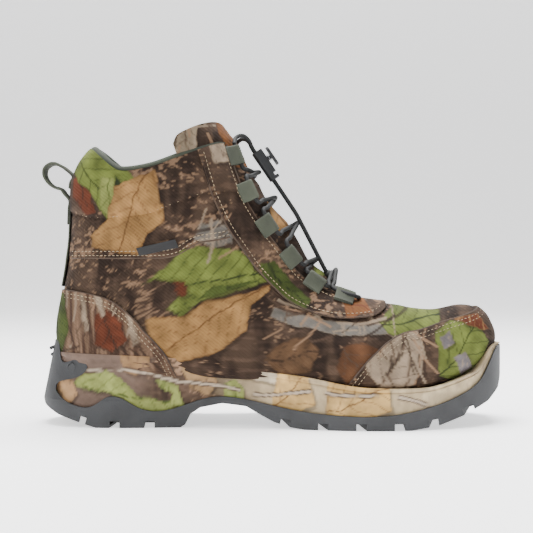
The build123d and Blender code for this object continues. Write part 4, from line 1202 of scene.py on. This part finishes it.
# ---------------------------------------------------------------- side label
label_region = region(("line", LABEL_CORNERS))
label = panel("label_tag", -1.5, -0.4, "boot", [label_region], (), None, -SPAN, 0)
dress(label, LABEL)
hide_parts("label")

# ---------------------------------------------------------------- midsole
def wall_rise(z):
    """How far up the leaning part of the sole's wall a height lies, as a fraction."""
    return np.clip(z - PLAN_STRAIGHT_TOP, 0, None) / (PLAN_LEAN_TOP - PLAN_STRAIGHT_TOP)


def sole_outline(count):
    """Plan outline as points with inward directions, lateral side first."""
    lateral = [(x, centre - half) for x, half, centre in PLAN]
    medial = [(x, centre + half) for x, half, centre in PLAN[-2:0:-1]]
    loop = lateral + medial
    line = smooth(loop[-2:] + loop + loop[:3], 0.7)
    first = int(np.argmin(np.hypot(line[:60, 0] - loop[0][0], line[:60, 1] - loop[0][1])))
    lengths = np.concatenate([[0], np.cumsum(np.linalg.norm(np.diff(line, axis=0), axis=1))])
    last = len(line) - 1 - int(np.argmin(
        np.hypot(line[::-1][:90, 0] - loop[0][0], line[::-1][:90, 1] - loop[0][1])))
    at = np.linspace(lengths[first], lengths[last], count, endpoint=False)
    places = np.stack([np.interp(at, lengths, line[:, i]) for i in (0, 1)], axis=1)
    along = np.roll(places, -1, axis=0) - np.roll(places, 1, axis=0)
    inward = np.stack([-along[:, 1], along[:, 0]], axis=1)
    return places, inward / np.linalg.norm(inward, axis=1)[:, None]


places, inward = sole_outline(620)
edge_line, rubber_line = smooth(MIDSOLE_EDGE, 2), smooth(RUBBER_EDGE, 2)[::-1]
top_z = np.interp(places[:, 0], edge_line[:, 0], edge_line[:, 1])
order = np.argsort(rubber_line[:, 0])
low_z = np.interp(places[:, 0], rubber_line[order, 0], rubber_line[order, 1]) - 4
low_z = np.minimum(low_z, top_z - 3)
knots, values = zip(*LEAN)
lean = np.interp(places[:, 0], knots, values)
rows = []
for part in np.linspace(0, 1, 26):
    z = low_z + (top_z - low_z) * part
    bulge = 0.7 * math.sin(math.pi * part) - (0.8 if 0.86 < part < 0.92 else 0)
    inset = RIM + 0.1 - bulge + wall_rise(z) * lean
    rows.append(np.column_stack([places + inward * inset[:, None], z]))
top_rows = len(rows)
for inner, drop in ((0.5, -0.2), (1.4, -0.3), (4.0, 0.2), (9.0, 1.5)):
    z = top_z - drop
    inset = RIM + 0.1 + inner + wall_rise(z) * lean
    rows.append(np.column_stack([places + inward * inset[:, None], z]))
levels = [0, 8, 14, 19, 22, top_rows - 1]
pushes = []
coarse = np.append(np.arange(0, len(places), 10), len(places))
for level in levels:
    heights = np.array([height_over(rows[level][i % len(places)]) for i in coarse])
    pushes.append(np.interp(np.arange(len(places)), coarse, np.clip(2.2 - heights, 0, 9)))
for index in range(len(rows)):
    level = min(index, top_rows - 1)
    push = np.array([np.interp(level, levels, column) for column in np.array(pushes).T])
    if index >= top_rows:
        push *= (0.9, 0.7, 0.0, 0.0)[index - top_rows]
    rows[index][:, :2] -= inward * push[:, None]
faces = grid_faces(len(rows), len(places), True)
midsole = mesh_object("midsole_foam_print", np.vstack(rows), faces, "boot", 50)
paint(midsole, "midsole")
dress(midsole, MIDSOLE)
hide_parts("midsole")

RING_HEIGHT = 38.0
turns = np.radians(np.arange(0, 360, 15))
for word, side in (("lateral", -1), ("medial", 1)):
    spot = int(np.argmin(np.hypot(places[:, 0] + 24.1, places[:, 1] - side * 30)))
    out_way = np.array([-inward[spot][0], -inward[spot][1], 0])
    across = np.array([-out_way[1], out_way[0], 0])
    centre = np.array([*places[spot], RING_HEIGHT]) - out_way * (wall_rise(RING_HEIGHT) * lean[spot] - 0.15)
    circle = [centre + 2.7 * (across * math.cos(t) + np.array([0, 0, 1]) * math.sin(t)) for t in turns]
    dress(tube_object(f"wing_ring_{word}", circle, 0.5, "boot", 8, True), RUBBER)

# ---------------------------------------------------------------- floor and lights
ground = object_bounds()[0][2]
sweep_line = [(-4.0, 0.0), (3.0, 0.0)]
sweep_line += [(3.0 + 1.5 * math.sin(t), 1.5 - 1.5 * math.cos(t)) for t in np.linspace(0.1, math.pi / 2, 16)]
sweep_line += [(4.5, 5.0)]
sweep_mesh = bpy.data.meshes.new("sweep")
sweep_points = [(x, y, ground + z) for y, z in sweep_line for x in (-5.0, 5.2)]
sweep_mesh.from_pydata(sweep_points, [], grid_faces(len(sweep_line), 2, False))
sweep_mesh.shade_smooth()
sweep = link("sweep", sweep_mesh)
floor_mat, _, floor_shader = material("floor", (250, 250, 251), 0.7)
floor_shader.inputs["Emission Color"].default_value = (1, 1, 1, 1)
floor_shader.inputs["Emission Strength"].default_value = 1.05
sweep_mesh.materials.append(floor_mat)


def area_light(name, place, target, size, power):
    """Soft square light aimed at a target."""
    data = bpy.data.lights.new(name, "AREA")
    data.shape = "SQUARE"
    data.size = size
    data.energy = power
    lamp = bpy.data.objects.new(name, data)
    bpy.context.scene.collection.objects.link(lamp)
    lamp.location = place
    lamp.rotation_euler = (Vector(target) - Vector(place)).to_track_quat("-Z", "Y").to_euler()


area_light("key", (-0.55, -0.9, 1.1), (0.1, 0, 0.08), 0.9, 12)
area_light("fill", (1.1, -0.9, 0.8), (0.1, 0, 0.08), 1.0, 3)
area_light("top", (0.1, 0.25, 1.3), (0.1, 0.1, 0.05), 0.9, 60)
world = bpy.data.worlds.new("world")
bpy.context.scene.world = world
world.use_nodes = True
world.node_tree.nodes["Background"].inputs["Color"].default_value = (1, 1, 1, 1)
world.node_tree.nodes["Background"].inputs["Strength"].default_value = 0.28
